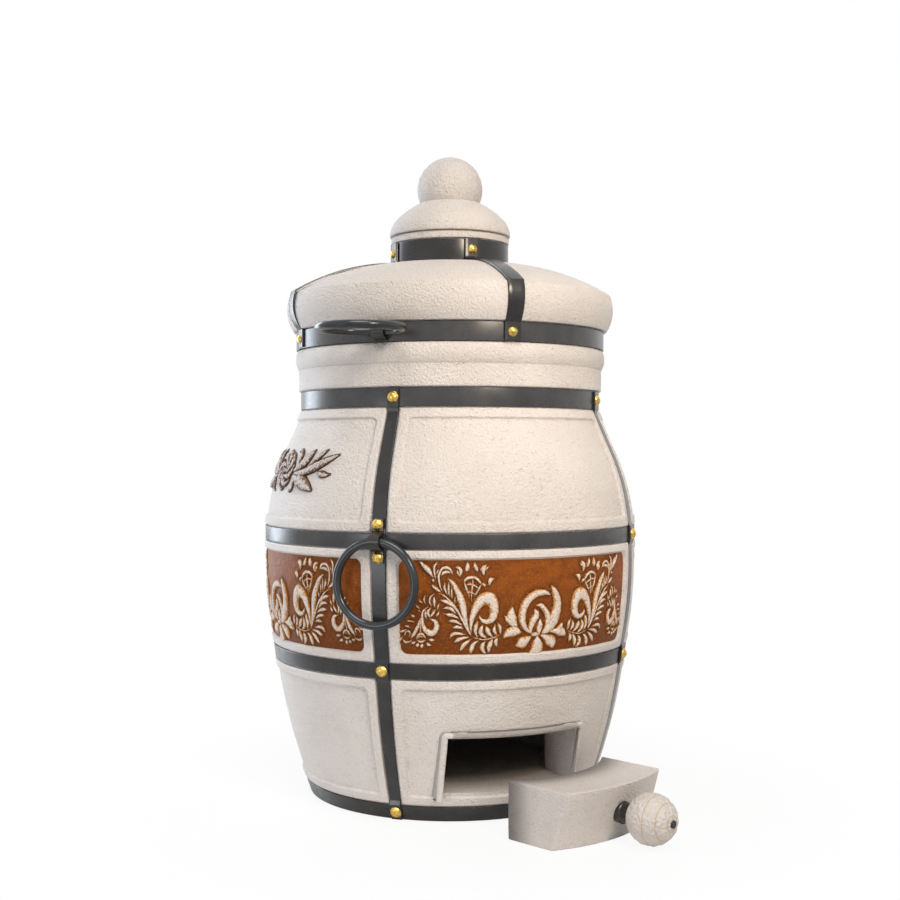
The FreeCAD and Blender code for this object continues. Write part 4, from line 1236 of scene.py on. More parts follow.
    def tunnel(self, skin: Skin, outer: Sequence[int], inner: Sequence[int]) -> None:
        """Line the ash opening through the wall.

        Args:
            skin: Skin that the lining is added to.
            outer: Numbers of the outer rows beside the opening.
            inner: Numbers of the chamber's rows beside it.
        """
        left, right = skin.column(-self.opening_azimuth), skin.column(self.opening_azimuth)
        rim = ([(outer[0], column) for column in range(left, right)]
               + [(line, right) for line in outer[:-1]]
               + [(outer[-1], column) for column in range(right, left, -1)]
               + [(line, left) for line in reversed(outer[1:])])
        twin = dict(zip(outer, inner))
        first = [skin.grid[line][column] for line, column in rim]
        last = [skin.grid[twin[line]][column] for line, column in rim]
        loops = [first]
        for step in range(1, self.tunnel_steps):
            share = step / self.tunnel_steps
            # Painted shade: the tunnel darkens towards the chamber.
            soot = 0.12 * smooth(0.4, 1.0, share)
            loops.append([skin.add(skin.points[near].lerp(skin.points[far], share), 0.0, soot)
                          for near, far in zip(first, last)])
        skin.faces += woven([*loops, last])[:-2]


# ---- glazed belt --------------------------------------------------------------------------------

@dataclass
class GlazedBelt:
    """The four glazed fields of the belt, and where the ornament lies on them."""

    proud: float = -0.8
    thickness: float = 3.2
    overlap: float = 0.6
    low: float = BELT.low + BELT.border
    pitch: float = 2.6

    def spot(self, middle: float, aside: float, up: float, height: float) -> Vector:
        """Point over a field.

        Args:
            middle: Azimuth of the field's middle.
            aside: Distance along the wall from the middle.
            up: Height above the field's lower edge.
            height: Distance out of the field.

        Returns:
            The point in millimetres.
        """
        level = self.low + up
        across = BELT.across(level) + self.proud
        return about(middle + math.degrees(aside / across), across + height, level)

    def build(self, shop: Workshop, place: str, middle: float,
              strokes: Sequence[Spine]) -> None:
        """Make one field as a closed, slightly uneven tile.

        Args:
            shop: Workshop that makes the piece.
            place: Name of the field.
            middle: Azimuth of its middle.
            strokes: Strokes of the ornament, next to which the glaze is darker.
        """
        first = self.low - self.overlap
        last = BELT.high - BELT.border + self.overlap
        half = 45.0 - CAGE.channel_angle / 2.0 - 2.35
        columns = spread(-half, half, 0.5) + [half]
        rows = spread(first, last, self.pitch) + [last]
        spots = [spot for spine in strokes for spot in flow(spine, 3.0)]
        tree = kdtree.KDTree(len(spots))
        for index, (aside, level, width) in enumerate(spots):
            tree.insert((aside, level, 0.0), index)
        tree.balance()
        points: list[Vector] = []
        pooled: list[float] = []
        for deep in (0.0, self.thickness):
            for up in rows:
                for angle in columns:
                    across = BELT.across(up) + self.proud - deep
                    spot = about(middle + angle, across, up)
                    if not deep:
                        spot += outward(middle + angle) * wander(spot, 26.0, 0.35)
                    points.append(spot)
                    level = (up - first) / (last - first)
                    cloud = wander(spot, 60.0, 0.22) + wander(spot, 17.0, 0.14)
                    # The glaze is darker towards the bottom of the field and next to the strokes.
                    run = smooth(0.75, 0.05, level + cloud) * 0.7
                    _, nearest, gap = tree.find((math.radians(angle) * across, up - self.low, 0.0))
                    beside = smooth(9.0, 0.5, gap - spots[nearest][2] / 2.0) * (0.75 + 2.0 * cloud)
                    pooled.append(min(1.0, max(run, beside)))
        item = shop.piece(f"glaze_{place}", points, slab(len(columns), len(rows)), GLAZE,
                          Slot.GLAZE, Rides.OVEN, 60.0, {"pooled": pooled})
        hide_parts(f"relief_panel_{place}")


def slab(wide: int, tall: int) -> list[list[int]]:
    """Closed skin of a slab whose points are two grids of one size, the front one first.

    Args:
        wide: Points in a row.
        tall: Rows in a grid.

    Returns:
        Its faces.
    """
    back = wide * tall
    faces: list[list[int]] = []
    for row in range(tall - 1):
        for column in range(wide - 1):
            base = row * wide + column
            faces.append([base, base + 1, base + wide + 1, base + wide])
            faces.append([back + base + wide, back + base + wide + 1, back + base + 1, back + base])
    rim = ([(0, column) for column in range(wide - 1)]
           + [(row, wide - 1) for row in range(tall - 1)]
           + [(tall - 1, column) for column in range(wide - 1, 0, -1)]
           + [(row, 0) for row in range(tall - 1, 0, -1)])
    ring = [row * wide + column for row, column in rim]
    for step, here in enumerate(ring):
        after = ring[(step + 1) % len(ring)]
        faces.append([here, back + here, back + after, after])
    return faces


# ---- ornament -----------------------------------------------------------------------------------

def flow(spine: Spine, pitch: float) -> list[Corner]:
    """Smooth line through the points of a spine, with its widths.

    Args:
        spine: Across, up and width of each point.
        pitch: Distance from point to point of the result.

    Returns:
        Across, up and width of each point of the smooth line.
    """
    spots = [Vector(place) for place in spine]
    spots = [spots[0] * 2.0 - spots[1], *spots, spots[-1] * 2.0 - spots[-2]]
    line = []
    for index in range(1, len(spots) - 2):
        before, start, end, after = spots[index - 1:index + 3]
        gap = (end.xy - start.xy).length
        steps = max(2, round(gap / pitch))
        for step in range(steps):
            share = step / steps
            bent = 0.5 * (2.0 * start + (end - before) * share
                          + (2.0 * before - 5.0 * start + 4.0 * end - after) * share ** 2
                          + (3.0 * start - before - 3.0 * end + after) * share ** 3)
            line.append((bent.x, bent.y, max(bent.z, 0.5)))
    line.append(tuple(spots[-2]))
    return line


@dataclass
class Ornament:
    """Raised leaves and flowers, each a domed stroke along a spine."""

    height: float = 3.25
    sunk: float = 1.0
    pitch: float = 2.2
    mirror: float = 3.1
    shade_apron: float = 1.3
    shade_apron_rise: float = 0.3
    samples: tuple[float, ...] = (-1.0, -0.94, -0.8, -0.55, -0.2, 0.2, 0.55, 0.8, 0.94, 1.0)

    def section(self, width: float, share: float) -> list[Corner]:
        """Cross-section of a stroke: a dome with a low apron on each side, which carries painted
        shade.

        Args:
            width: Width of the dome.
            share: Share of its full height, from 0 at the ends of a stroke to 1.

        Returns:
            Distance from the spine, height and crest mark of each point.
        """
        half = width / 2.0
        tall = (self.height * (1.0 - math.exp(-width / 5.0)) + 0.5) * share
        worth = share * min(1.0, 0.6 + width / 9.0)
        outer = half + self.shade_apron
        domed = []
        for sample in self.samples:
            dome = (1.0 - sample * sample) ** 0.6
            domed.append((sample * half, self.shade_apron_rise + tall * dome, dome * worth))
        return [(-outer, -self.sunk, 0.0), (-outer, self.shade_apron_rise / 2.0, 0.0), *domed,
                (outer, self.shade_apron_rise / 2.0, 0.0), (outer, -self.sunk, 0.0)]

    def stroke(self, spine: Spine, on_wall: OnWall, points: list[Vector],
               faces: list[list[int]], crests: list[float]) -> None:
        """Add one stroke to a mesh.

        Args:
            spine: Across, up and width of the points along the stroke.
            on_wall: Takes across, up and height to a point over the wall.
            points: Points of the mesh.
            faces: Faces of the mesh.
            crests: Crest mark of each point.
        """
        line = [Vector(place) for place in flow(spine, self.pitch)]
        for end, inner, at in ((line[0], line[1], 0), (line[-1], line[-2], len(line) + 1)):
            away = (end - inner).xy.normalized() * self.shade_apron
            line.insert(at, Vector((end.x + away.x, end.y + away.y, end.z)))
        first = len(points)
        for index, place in enumerate(line):
            along = (line[min(index + 1, len(line) - 1)] - line[max(index - 1, 0)]).xy
            side = Vector((-along.y, along.x)).normalized()
            share = (0.0, 0.55, 0.9, 1.0)[min(index, len(line) - 1 - index, 3)]
            for aside, height, crest in self.section(place.z, share):
                spot = place.xy + side * aside
                pitted = wander(Vector((spot.x, spot.y, 9.0)), 3.0, 0.5) * crest
                points.append(on_wall(spot.x, spot.y, height + pitted))
                crests.append(crest)
        rows = rows_of(len(self.samples) + 4, len(points) - first)
        faces += [[first + corner for corner in face] for face in woven(rows)]

    def flipped(self, spines: Sequence[Spine]) -> list[Spine]:
        """Strokes mirrored about the middle of a field."""
        return [tuple((self.mirror - across, up, width) for across, up, width in spine)
                for spine in spines]

    def strokes(self) -> list[Spine]:
        """All strokes of a field: two sprigs, the lotus and the two sprigs mirrored."""
        return [*SMALL_SPRIG, *SPRIG, *LOTUS, *self.flipped(SPRIG), *self.flipped(SMALL_SPRIG)]

    def carve(self, shop: Workshop, name: str, spines: Sequence[Spine], on_wall: OnWall,
              finish: Finish = RELIEF) -> None:
        """Make one piece of a set of strokes.

        Args:
            shop: Workshop that makes the piece.
            name: Name of the piece.
            spines: The strokes.
            on_wall: Takes across, up and height to a point over the wall.
            finish: Material recipe.
        """
        points: list[Vector] = []
        faces: list[list[int]] = []
        crests: list[float] = []
        for spine in spines:
            self.stroke(spine, on_wall, points, faces, crests)
        shop.piece(name, points, faces, finish, Slot.GLAZE, Rides.OVEN, 60.0, {"crest": crests})

    def build(self, shop: Workshop, place: str, middle: float, belt: GlazedBelt) -> None:
        """Make the ornament of one field.

        Args:
            shop: Workshop that makes the piece.
            place: Name of the field.
            middle: Azimuth of its middle.
            belt: Belt that the field belongs to.
        """
        self.carve(shop, f"flowers_{place}", self.strokes(),
                   lambda across, up, height: belt.spot(middle, across, up, height))


@dataclass
class Rosette(Ornament):
    """Small raised rosette between leaves, on the upper panel left of the front."""

    height: float = 5.0
    middle: float = CAGE.turn - 90.0
    level: float = 514.0
    field: float = 0.4
    petals: int = 8
    mirror: float = 0.0

    def on_wall(self, across: float, up: float, height: float) -> Vector:
        """Point over the panel's field.

        Args:
            across: Distance along the wall from the rosette's middle.
            up: Height over its middle.
            height: Distance out of the field.

        Returns:
            The point in millimetres.
        """
        level = self.level + up
        radius = UPPER.across(level) + self.field
        return about(self.middle + math.degrees(across / radius), radius + height, level)

    def petal(self, turn: float, reach: float, width: float) -> Spine:
        """One crescent petal of the rosette.

        Args:
            turn: Direction in which it starts, in degrees.
            reach: Distance of its tip from the middle.
            width: Its greatest width.

        Returns:
            Its spine.
        """
        line = []
        for share, curl, part in ((0.30, 0.0, 0.3), (0.55, 10.0, 0.9), (0.8, 26.0, 1.0),
                                  (0.98, 48.0, 0.55), (1.0, 66.0, 0.12)):
            angle = math.radians(turn + curl)
            line.append((reach * share * math.cos(angle), reach * share * math.sin(angle),
                         width * part))
        return tuple(line)

    def place(self, shop: Workshop) -> None:
        """Make the rosette between its leaves.

        Args:
            shop: Workshop that makes the piece.
        """
        step = 360.0 / self.petals
        spines = [self.petal(step * petal, 29.0, 9.5) for petal in range(self.petals)]
        spines += [self.petal(step * (petal + 0.5), 17.0, 6.0) for petal in range(self.petals)]
        spines.append(((-5.0, 0.0, 3.0), (0.0, 0.0, 10.0), (5.0, 0.0, 3.0)))
        spines += [*LEAVES, *self.flipped(LEAVES)]
        self.carve(shop, "rosette", spines, self.on_wall, DARK_RELIEF)


# Strokes of the ornament: distance along the wall, height over the field's lower edge, width.
SPRIG = (
    ((-96.2, 35.5, 1.4), (-97.2, 44.6, 4.5), (-96.2, 54.7, 8.0), (-93.2, 64.6, 11.0),
     (-88.6, 74.6, 14.0), (-81.4, 82.4, 18.0), (-72.4, 83.2, 20.1), (-66.1, 75.1, 16.1),
     (-64.5, 65.1, 14.1), (-66.3, 56.1, 12.6), (-72.1, 50.7, 9.1), (-79.2, 51.3, 6.0),
     (-84.2, 55.5, 3.5), (-85.6, 60.0, 1.2)),
    ((-131.7, 112.6, 0.8), (-124.3, 105.7, 5.9), (-118.2, 94.8, 8.4), (-112.6, 82.8, 10.9),
     (-109.2, 70.8, 10.3), (-106.3, 57.8, 7.4), (-102.5, 44.7, 4.2), (-96.8, 32.0, 1.2)),
    ((-96.4, 31.5, 2.6), (-105.7, 46.7, 3.4), (-114.3, 61.9, 3.0), (-121.6, 73.9, 2.6),
     (-129.7, 82.3, 2.4), (-136.7, 88.3, 2.0), (-144.7, 91.8, 0.8)),
    ((-154.7, 102.8, 0.8), (-150.7, 100.2, 4.4), (-145.7, 96.2, 3.5), (-140.8, 92.8, 1.0)),
    ((-141.5, 81.8, 1.0), (-135.6, 80.3, 4.9), (-127.6, 76.9, 5.4), (-121.6, 71.9, 4.0),
     (-115.9, 63.9, 1.2)),
    ((-137.4, 69.7, 0.8), (-131.3, 70.9, 4.5), (-125.4, 68.9, 4.9), (-118.7, 61.9, 1.2)),
    ((-134.4, 61.4, 0.8), (-128.5, 60.9, 5.0), (-122.1, 59.4, 4.5), (-114.5, 55.3, 1.0)),
    ((-129.1, 52.1, 0.8), (-123.2, 52.1, 4.8), (-116.7, 50.3, 4.2), (-109.6, 45.8, 1.0)),
    ((-122.2, 42.3, 0.8), (-117.4, 43.3, 5.0), (-112.4, 42.8, 4.0), (-107.9, 40.7, 1.0)),
    ((-125.7, 27.2, 1.0), (-122.6, 32.7, 5.0), (-115.8, 34.2, 5.0), (-104.4, 32.1, 1.0)),
    ((-119.4, 21.1, 1.0), (-114.7, 24.4, 6.0), (-108.5, 27.1, 5.0), (-98.7, 28.5, 1.0)),
    ((-110.0, 9.1, 1.4), (-106.2, 15.9, 6.5), (-102.1, 20.4, 5.5), (-96.0, 25.2, 1.2)),
    ((-94.5, 4.5, 1.4), (-94.1, 11.7, 7.6), (-91.6, 18.3, 5.5), (-85.5, 23.2, 1.0)),
    ((-139.8, 94.8, 1.0), (-142.9, 103.7, 2.6), (-144.5, 113.6, 3.3), (-143.0, 120.5, 3.5),
     (-139.1, 126.4, 3.9), (-133.7, 127.9, 4.1), (-128.3, 125.5, 3.9), (-124.9, 118.0, 1.2)),
    ((-141.0, 117.0, 1.2), (-137.6, 120.5, 4.5), (-132.2, 121.7, 4.3), (-126.3, 120.0, 1.2)),
    ((-171.1, 136.1, 2.0), (-165.6, 130.2, 5.9), (-160.2, 125.3, 8.3), (-155.8, 119.4, 4.9),
     (-151.8, 113.5, 1.0)),
    ((-145.7, 135.8, 1.0), (-150.4, 129.3, 3.3), (-150.4, 120.5, 3.0), (-148.9, 111.1, 1.2)),
    ((-144.5, 125.4, 0.8), (-146.4, 122.0, 2.2), (-146.9, 117.5, 0.8)),
    ((-152.3, 111.3, 1.8), (-152.3, 109.4, 3.9), (-152.0, 107.4, 1.8)),
    ((-135.6, 106.7, 0.8), (-136.0, 98.7, 3.4), (-131.9, 89.8, 1.4)),
    ((-129.7, 107.7, 0.8), (-130.5, 97.8, 3.2), (-128.9, 86.8, 1.0)),
    ((-125.7, 99.7, 0.8), (-126.0, 91.8, 2.8), (-124.7, 83.8, 0.8)),
    ((-120.5, 86.8, 0.8), (-121.4, 81.8, 2.6), (-120.3, 77.9, 0.8)),
    ((-108.6, 106.6, 1.8), (-105.7, 111.7, 3.9), (-96.8, 114.2, 4.6), (-88.9, 110.4, 4.2),
     (-83.6, 103.3, 1.8)),
    ((-108.1, 107.6, 2.0), (-105.5, 98.6, 2.8), (-102.2, 90.2, 2.0)),
    ((-84.8, 102.4, 2.2), (-89.2, 94.5, 2.8), (-93.3, 88.1, 2.0)),
    ((-96.3, 110.9, 1.6), (-96.7, 102.5, 2.6), (-97.7, 90.6, 2.0)),
    ((-106.6, 103.1, 1.6), (-97.7, 104.0, 2.6), (-87.7, 98.4, 1.6)),
    ((-103.7, 93.2, 1.6), (-98.0, 92.4, 2.2), (-92.3, 89.4, 1.6)),
    ((-101.4, 90.7, 2.0), (-101.6, 84.7, 1.0)),
    ((-98.0, 90.6, 2.2), (-97.7, 80.7, 1.0)),
    ((-120.3, 128.2, 2.2), (-115.1, 126.9, 5.1), (-113.1, 121.5, 5.3), (-115.1, 115.3, 1.4)),
    ((-118.5, 124.3, 1.4), (-117.7, 120.5, 3.3), (-116.0, 117.0, 1.6)),
    ((-103.9, 136.4, 1.0), (-103.7, 130.8, 5.9), (-104.3, 125.9, 7.3), (-105.9, 122.6, 2.0)),
    ((-93.8, 135.3, 1.0), (-92.9, 129.7, 5.9), (-90.7, 125.2, 5.0), (-89.4, 122.3, 1.4)),
    ((-76.9, 131.2, 1.8), (-80.8, 126.9, 7.6), (-81.2, 121.2, 5.2), (-80.3, 116.0, 1.2)),
    ((-74.1, 128.8, 1.0), (-77.0, 126.0, 3.4), (-85.7, 124.0, 1.8)),
    ((-65.8, 111.8, 1.4), (-70.7, 110.1, 7.4), (-72.3, 106.1, 4.6), (-72.8, 102.6, 1.2)),
    ((-84.3, 103.6, 1.2), (-81.8, 104.1, 3.4), (-79.6, 102.3, 4.0), (-79.3, 100.3, 1.4)),
    ((-87.7, 51.5, 1.0), (-89.3, 45.5, 6.2), (-90.2, 37.5, 5.2), (-86.8, 27.8, 1.0)),
    ((-79.8, 45.3, 1.4), (-82.5, 39.3, 6.4), (-81.1, 32.2, 6.0), (-73.1, 26.0, 1.2)),
    ((-75.0, 44.0, 1.4), (-73.2, 38.3, 7.5), (-69.9, 33.0, 5.3), (-64.1, 27.9, 1.0)),
    ((-61.8, 45.5, 1.2), (-63.4, 39.4, 5.3), (-61.6, 34.8, 4.5), (-58.2, 30.4, 1.0)),
    ((-58.7, 48.6, 1.0), (-55.2, 42.6, 4.5), (-54.4, 37.6, 4.1), (-53.1, 31.9, 1.0)),
    ((-74.8, 22.0, 1.0), (-78.5, 17.0, 6.5), (-78.5, 10.9, 6.3), (-73.4, 4.1, 1.6)),
    ((-64.5, 25.7, 1.0), (-67.5, 18.7, 6.9), (-69.1, 12.6, 6.9), (-68.6, 6.5, 1.6)),
    ((-57.4, 27.0, 1.4), (-59.7, 22.5, 5.7), (-59.4, 18.4, 5.3), (-57.5, 14.3, 1.4)),
    ((-91.7, 27.9, 1.0), (-78.5, 24.6, 1.8), (-68.6, 26.0, 1.8), (-60.6, 28.1, 1.4),
     (-55.1, 30.5, 0.8)),
)

SMALL_SPRIG = (
    ((-159.4, 71.7, 1.2), (-165.6, 65.6, 2.8), (-166.5, 56.6, 3.6), (-164.8, 46.5, 4.8),
     (-160.4, 38.5, 7.6), (-152.2, 34.1, 9.6), (-146.6, 38.7, 8.6), (-145.5, 45.8, 7.4),
     (-148.2, 51.8, 5.2), (-155.8, 54.9, 1.2)),
    ((-169.7, 55.0, 1.0), (-171.3, 46.4, 4.2), (-173.9, 39.3, 5.8), (-178.0, 31.1, 4.2),
     (-181.2, 26.7, 1.2)),
    ((-150.5, 90.7, 0.8), (-155.8, 85.7, 2.8), (-156.6, 78.7, 2.6), (-154.0, 72.8, 1.0)),
    ((-150.6, 86.7, 0.8), (-150.3, 80.8, 4.2), (-149.5, 74.8, 2.8), (-149.0, 70.8, 0.8)),
    ((-143.5, 77.0, 0.8), (-144.5, 72.3, 2.8), (-145.0, 67.6, 0.8)),
    ((-163.1, 88.8, 1.0), (-164.7, 82.6, 3.0), (-162.5, 76.4, 1.0)),
    ((-161.7, 67.7, 1.0), (-162.0, 61.6, 3.6), (-160.2, 54.4, 1.0)),
    ((-154.7, 70.7, 1.0), (-158.5, 65.7, 3.6), (-157.3, 60.2, 3.2), (-155.4, 56.9, 0.8)),
    ((-147.8, 68.8, 1.0), (-150.5, 63.8, 3.6), (-153.3, 59.8, 2.8), (-154.6, 57.5, 0.8)),
    ((-142.7, 66.0, 1.0), (-144.5, 61.8, 3.6), (-146.2, 58.4, 1.2)),
    ((-199.5, 34.7, 0.8), (-194.5, 36.2, 3.9), (-188.5, 38.9, 1.2)),
    ((-192.0, 43.9, 0.8), (-187.7, 44.0, 3.2), (-183.4, 41.9, 1.0)),
    ((-187.9, 51.3, 0.8), (-183.0, 51.2, 3.2), (-177.1, 50.1, 1.0)),
    ((-182.6, 60.1, 0.8), (-179.7, 58.8, 4.4), (-176.9, 57.2, 1.0)),
    ((-176.4, 74.9, 0.8), (-173.3, 71.5, 2.6), (-169.5, 69.3, 0.8)),
    ((-171.6, 82.5, 0.8), (-170.0, 79.5, 2.4), (-167.2, 77.2, 0.8)),
    ((-173.6, 66.5, 0.6), (-171.1, 66.0, 2.0), (-168.4, 64.6, 0.6)),
    ((-169.7, 26.2, 0.8), (-168.0, 40.4, 2.0), (-168.0, 54.5, 2.2), (-165.6, 65.6, 1.2),
     (-159.9, 70.7, 0.8)),
    ((-190.1, 30.2, 1.2), (-189.5, 35.0, 2.6), (-184.9, 37.0, 2.6), (-182.5, 33.0, 2.2),
     (-184.3, 28.7, 1.2)),
    ((-198.0, 18.0, 1.0), (-196.9, 24.2, 3.9), (-193.8, 28.1, 1.2)),
    ((-193.0, 24.5, 1.2), (-188.5, 20.6, 3.7), (-182.9, 21.6, 2.2), (-179.8, 24.4, 0.8)),
    ((-173.1, 25.3, 1.2), (-170.7, 31.0, 3.2), (-166.6, 33.6, 3.4), (-162.4, 30.4, 2.8),
     (-160.1, 25.8, 1.0)),
    ((-171.7, 23.3, 1.4), (-166.4, 21.6, 3.6), (-160.3, 23.7, 1.4)),
    ((-169.3, 27.7, 0.8), (-166.7, 29.8, 2.4), (-163.8, 27.5, 0.8)),
    ((-179.9, 21.1, 1.4), (-176.8, 19.5, 4.9), (-174.8, 21.8, 1.2)),
    ((-172.4, 14.9, 1.8), (-170.9, 16.8, 5.4), (-169.6, 19.3, 1.2)),
    ((-163.8, 12.7, 1.8), (-164.5, 15.5, 5.6), (-164.2, 18.4, 1.4)),
    ((-151.1, 16.8, 1.2), (-155.7, 17.8, 5.0), (-157.7, 20.5, 1.2)),
    ((-146.9, 24.3, 1.2), (-151.5, 24.5, 4.6), (-155.3, 25.2, 1.0)),
)

LOTUS = (
    ((-7.9, 31.7, 2.7), (-16.9, 40.0, 7.7), (-22.1, 53.1, 11.8), (-20.4, 67.8, 13.0),
     (-13.0, 80.3, 12.3), (-1.0, 88.0, 11.3), (13.5, 89.1, 8.3), (21.8, 85.6, 2.4)),
    ((24.1, 98.3, 2.0), (29.8, 89.2, 10.6), (34.8, 76.0, 13.6), (34.0, 61.2, 16.5),
     (28.2, 46.6, 19.3), (19.6, 36.0, 14.2), (11.1, 29.7, 3.2)),
    ((-0.0, 71.2, 2.3), (7.9, 70.1, 7.5), (16.5, 60.4, 9.2), (20.2, 49.0, 10.1), (17.3, 37.1, 6.5),
     (11.6, 29.1, 2.0)),
    ((-2.6, 65.5, 2.7), (0.6, 57.6, 10.2), (-5.0, 48.6, 11.3), (-8.0, 38.6, 8.2),
     (-7.0, 30.6, 2.3)),
    ((6.9, 50.7, 2.0), (6.6, 42.4, 9.5), (5.8, 35.0, 8.3), (5.3, 28.0, 2.8)),
    ((-37.6, 69.9, 2.6), (-39.1, 60.3, 13.1), (-37.0, 50.1, 15.8), (-29.6, 42.1, 2.7)),
    ((-48.4, 57.8, 1.9), (-42.8, 51.8, 8.6), (-32.8, 44.0, 2.3)),
    ((-48.2, 25.8, 2.2), (-41.7, 32.8, 13.5), (-32.3, 35.2, 15.9), (-23.1, 32.9, 3.4)),
    ((-28.7, 13.7, 3.1), (-20.7, 17.0, 17.7), (-13.2, 22.2, 12.0), (-6.7, 26.5, 2.7)),
    ((0.3, -0.5, 8.0), (4.5, 6.7, 20.0), (4.4, 16.4, 16.7), (3.2, 26.6, 2.4)),
    ((-7.8, 1.8, 2.8), (-2.4, 5.6, 7.9), (0.9, 14.4, 5.9), (1.7, 24.1, 2.0)),
    ((31.2, 7.4, 3.8), (28.1, 16.3, 18.2), (19.6, 22.5, 11.8), (9.6, 27.3, 2.4)),
    ((53.1, 24.5, 3.9), (44.0, 30.5, 15.7), (34.3, 32.0, 8.7), (25.0, 31.5, 2.0)),
    ((46.3, 43.1, 1.7), (42.1, 37.3, 8.0), (34.7, 32.0, 4.2)),
    ((-6.1, 28.6, 2.7), (-0.4, 29.4, 7.1), (6.0, 27.9, 2.8)),
)

# Leaves beside the rosette, from its middle.
LEAVES = (
    ((33.0, -1.0, 3.0), (46.0, 4.0, 13.0), (58.0, 13.0, 18.0), (68.0, 23.0, 13.0),
     (75.0, 31.0, 2.0)),
    ((36.0, -4.0, 3.0), (60.0, -3.0, 11.0), (84.0, 4.0, 15.0), (106.0, 13.0, 13.0),
     (122.0, 20.0, 7.0), (131.0, 24.0, 1.5)),
    ((34.0, -8.0, 3.0), (50.0, -12.0, 15.0), (68.0, -18.0, 20.0), (84.0, -24.0, 13.0),
     (96.0, -29.0, 2.0)),
    ((78.0, 10.0, 2.0), (88.0, 19.0, 9.0), (98.0, 27.0, 6.0), (104.0, 31.0, 1.5)),
    ((98.0, -2.0, 2.0), (109.0, -5.0, 9.0), (120.0, -6.0, 5.0), (127.0, -5.0, 1.2)),
    ((40.0, 8.0, 1.5), (43.0, 18.0, 5.0), (41.0, 27.0, 5.0), (34.0, 31.0, 3.0), (29.0, 28.0, 1.2)),
    ((40.0, -16.0, 1.5), (42.0, -25.0, 5.0), (37.0, -31.0, 4.0), (30.0, -31.0, 1.2)),
)


# ---- ash opening and plug -----------------------------------------------------------------------

@dataclass
class AshSurround:
    """The moulding over the top and down both sides of the ash opening."""

    half: float = 105.5
    width: float = 8.0
    toe: float = 37.0
    top: float = 140.0
    toe_rise: float = 17.6
    rise: float = 9.6
    edge: float = 3.9
    corner: float = 7.0
    field: float = 0.4
    shadow_line_width: float = 1.1

    def path(self) -> list[tuple[float, float, float, float]]:
        """Outer line of the moulding.

        Returns:
            Its points: x, z and the direction towards the moulding's middle.
        """
        outer = self.half + self.width
        radius, line = self.corner, []
        for up in spread(self.toe, self.top - radius, 5.0):
            line.append((-outer, up, 1.0, 0.0))
        for step in range(9):
            angle = math.radians(90.0 * step / 8.0)
            line.append((-outer + radius - radius * math.cos(angle),
                         self.top - radius + radius * math.sin(angle),
                         math.cos(angle), -math.sin(angle)))
        for across in spread(-outer + radius, outer - radius, 6.0)[1:]:
            line.append((across, self.top, 0.0, -1.0))
        return line + [(-x, up, -inward, down) for x, up, inward, down in reversed(line)]

    def build(self, shop: Workshop) -> None:
        """Make the moulding, with a painted shadow line round it, by carrying its section along its
        path.

        Args:
            shop: Workshop that makes the piece.
        """
        low_base = LOWER.across(self.toe) + self.field
        high_base = LOWER.across(self.top) + self.field
        points: list[Vector] = []
        soot: list[float] = []
        rounded = eased([(0.0, -9.0, 0.0), (self.width, -9.0, 0.0), (self.width, 0.0, self.edge),
                         (0.0, 0.0, self.edge)], 5)[2:]
        section = [(-self.shadow_line_width, None), (0.2, None), *rounded, (self.width, None)]
        for x, up, inward, down in self.path():
            share = (up - self.toe) / (self.top - self.toe)
            face = (low_base + self.toe_rise) * (1.0 - share) + (high_base + self.rise) * share
            for index, (wide, deep) in enumerate(section):
                along, level = x + inward * wide, up + down * wide
                wall = LOWER.across(level) + self.field
                if deep is not None:
                    radius = face + deep + wander(Vector((along, 0.0, level)), 22.0, 0.35)
                else:
                    radius = wall + 0.35 if index < 2 else wall - 7.0
                points.append(Vector((along, -math.sqrt(radius ** 2 - along ** 2), level)))
                # Painted shadow: the thin apron round the moulding is dark.
                soot.append(0.45 if index < 2 else 0.0)
            along, level = x - inward * self.shadow_line_width, up - down * self.shadow_line_width
            radius = LOWER.across(level) + self.field - 7.0
            points.append(Vector((along, -math.sqrt(radius ** 2 - along ** 2), level)))
            soot.append(0.45)
        faces = woven(rows_of(len(section) + 1, len(points)))
        item = shop.piece("surround", points, faces, CLAY, Slot.CLAY, Rides.OVEN, 50.0,
                          {"soot": soot})
        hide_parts("ash_surround")


def rounded_block(half: Vector, radius: float, pitch: float) -> Shape:
    """Block about the origin with rounded edges and an even mesh.

    Args:
        half: Half of its size each way.
        radius: Radius of its edges.
        pitch: Distance from line to line on its sides.

    Returns:
        Points and faces.
    """
    lines = []
    for size in half:
        inner = size - radius
        near = [-size + radius * (1.0 - math.cos(math.radians(90.0 * step / 5.0)))
                for step in range(5)]
        line = near + spread(-inner, inner, pitch) + [inner] + [-place for place in reversed(near)]
        lines.append(line)
    points: list[Vector] = []
    known: dict[tuple[int, int, int], int] = {}
    faces: list[list[int]] = []

    def number(index: tuple[int, int, int]) -> int:
        """Number of the point on the surface that belongs to a place in the grid.

        Args:
            index: The place, as a line number each way.

        Returns:
            Number of the point, which is added if it is new.
        """
        if index not in known:
            raw = Vector([lines[axis][index[axis]] for axis in range(3)])
            core = Vector([min(max(raw[axis], -half[axis] + radius), half[axis] - radius)
                           for axis in range(3)])
            out = raw - core
            known[index] = len(points)
            points.append(core + out.normalized() * radius if out.length else raw)
        return known[index]

    for axis in range(3):
        first, second = [other for other in range(3) if other != axis]
        for end in (0, len(lines[axis]) - 1):
            for row in range(len(lines[first]) - 1):
                for column in range(len(lines[second]) - 1):
                    face = []
                    for down, over in ((0, 0), (1, 0), (1, 1), (0, 1)):
                        index = [0, 0, 0]
                        index[axis], index[first], index[second] = end, row + down, column + over
                        face.append(number((index[0], index[1], index[2])))
                    faces.append(face)
    return points, faces


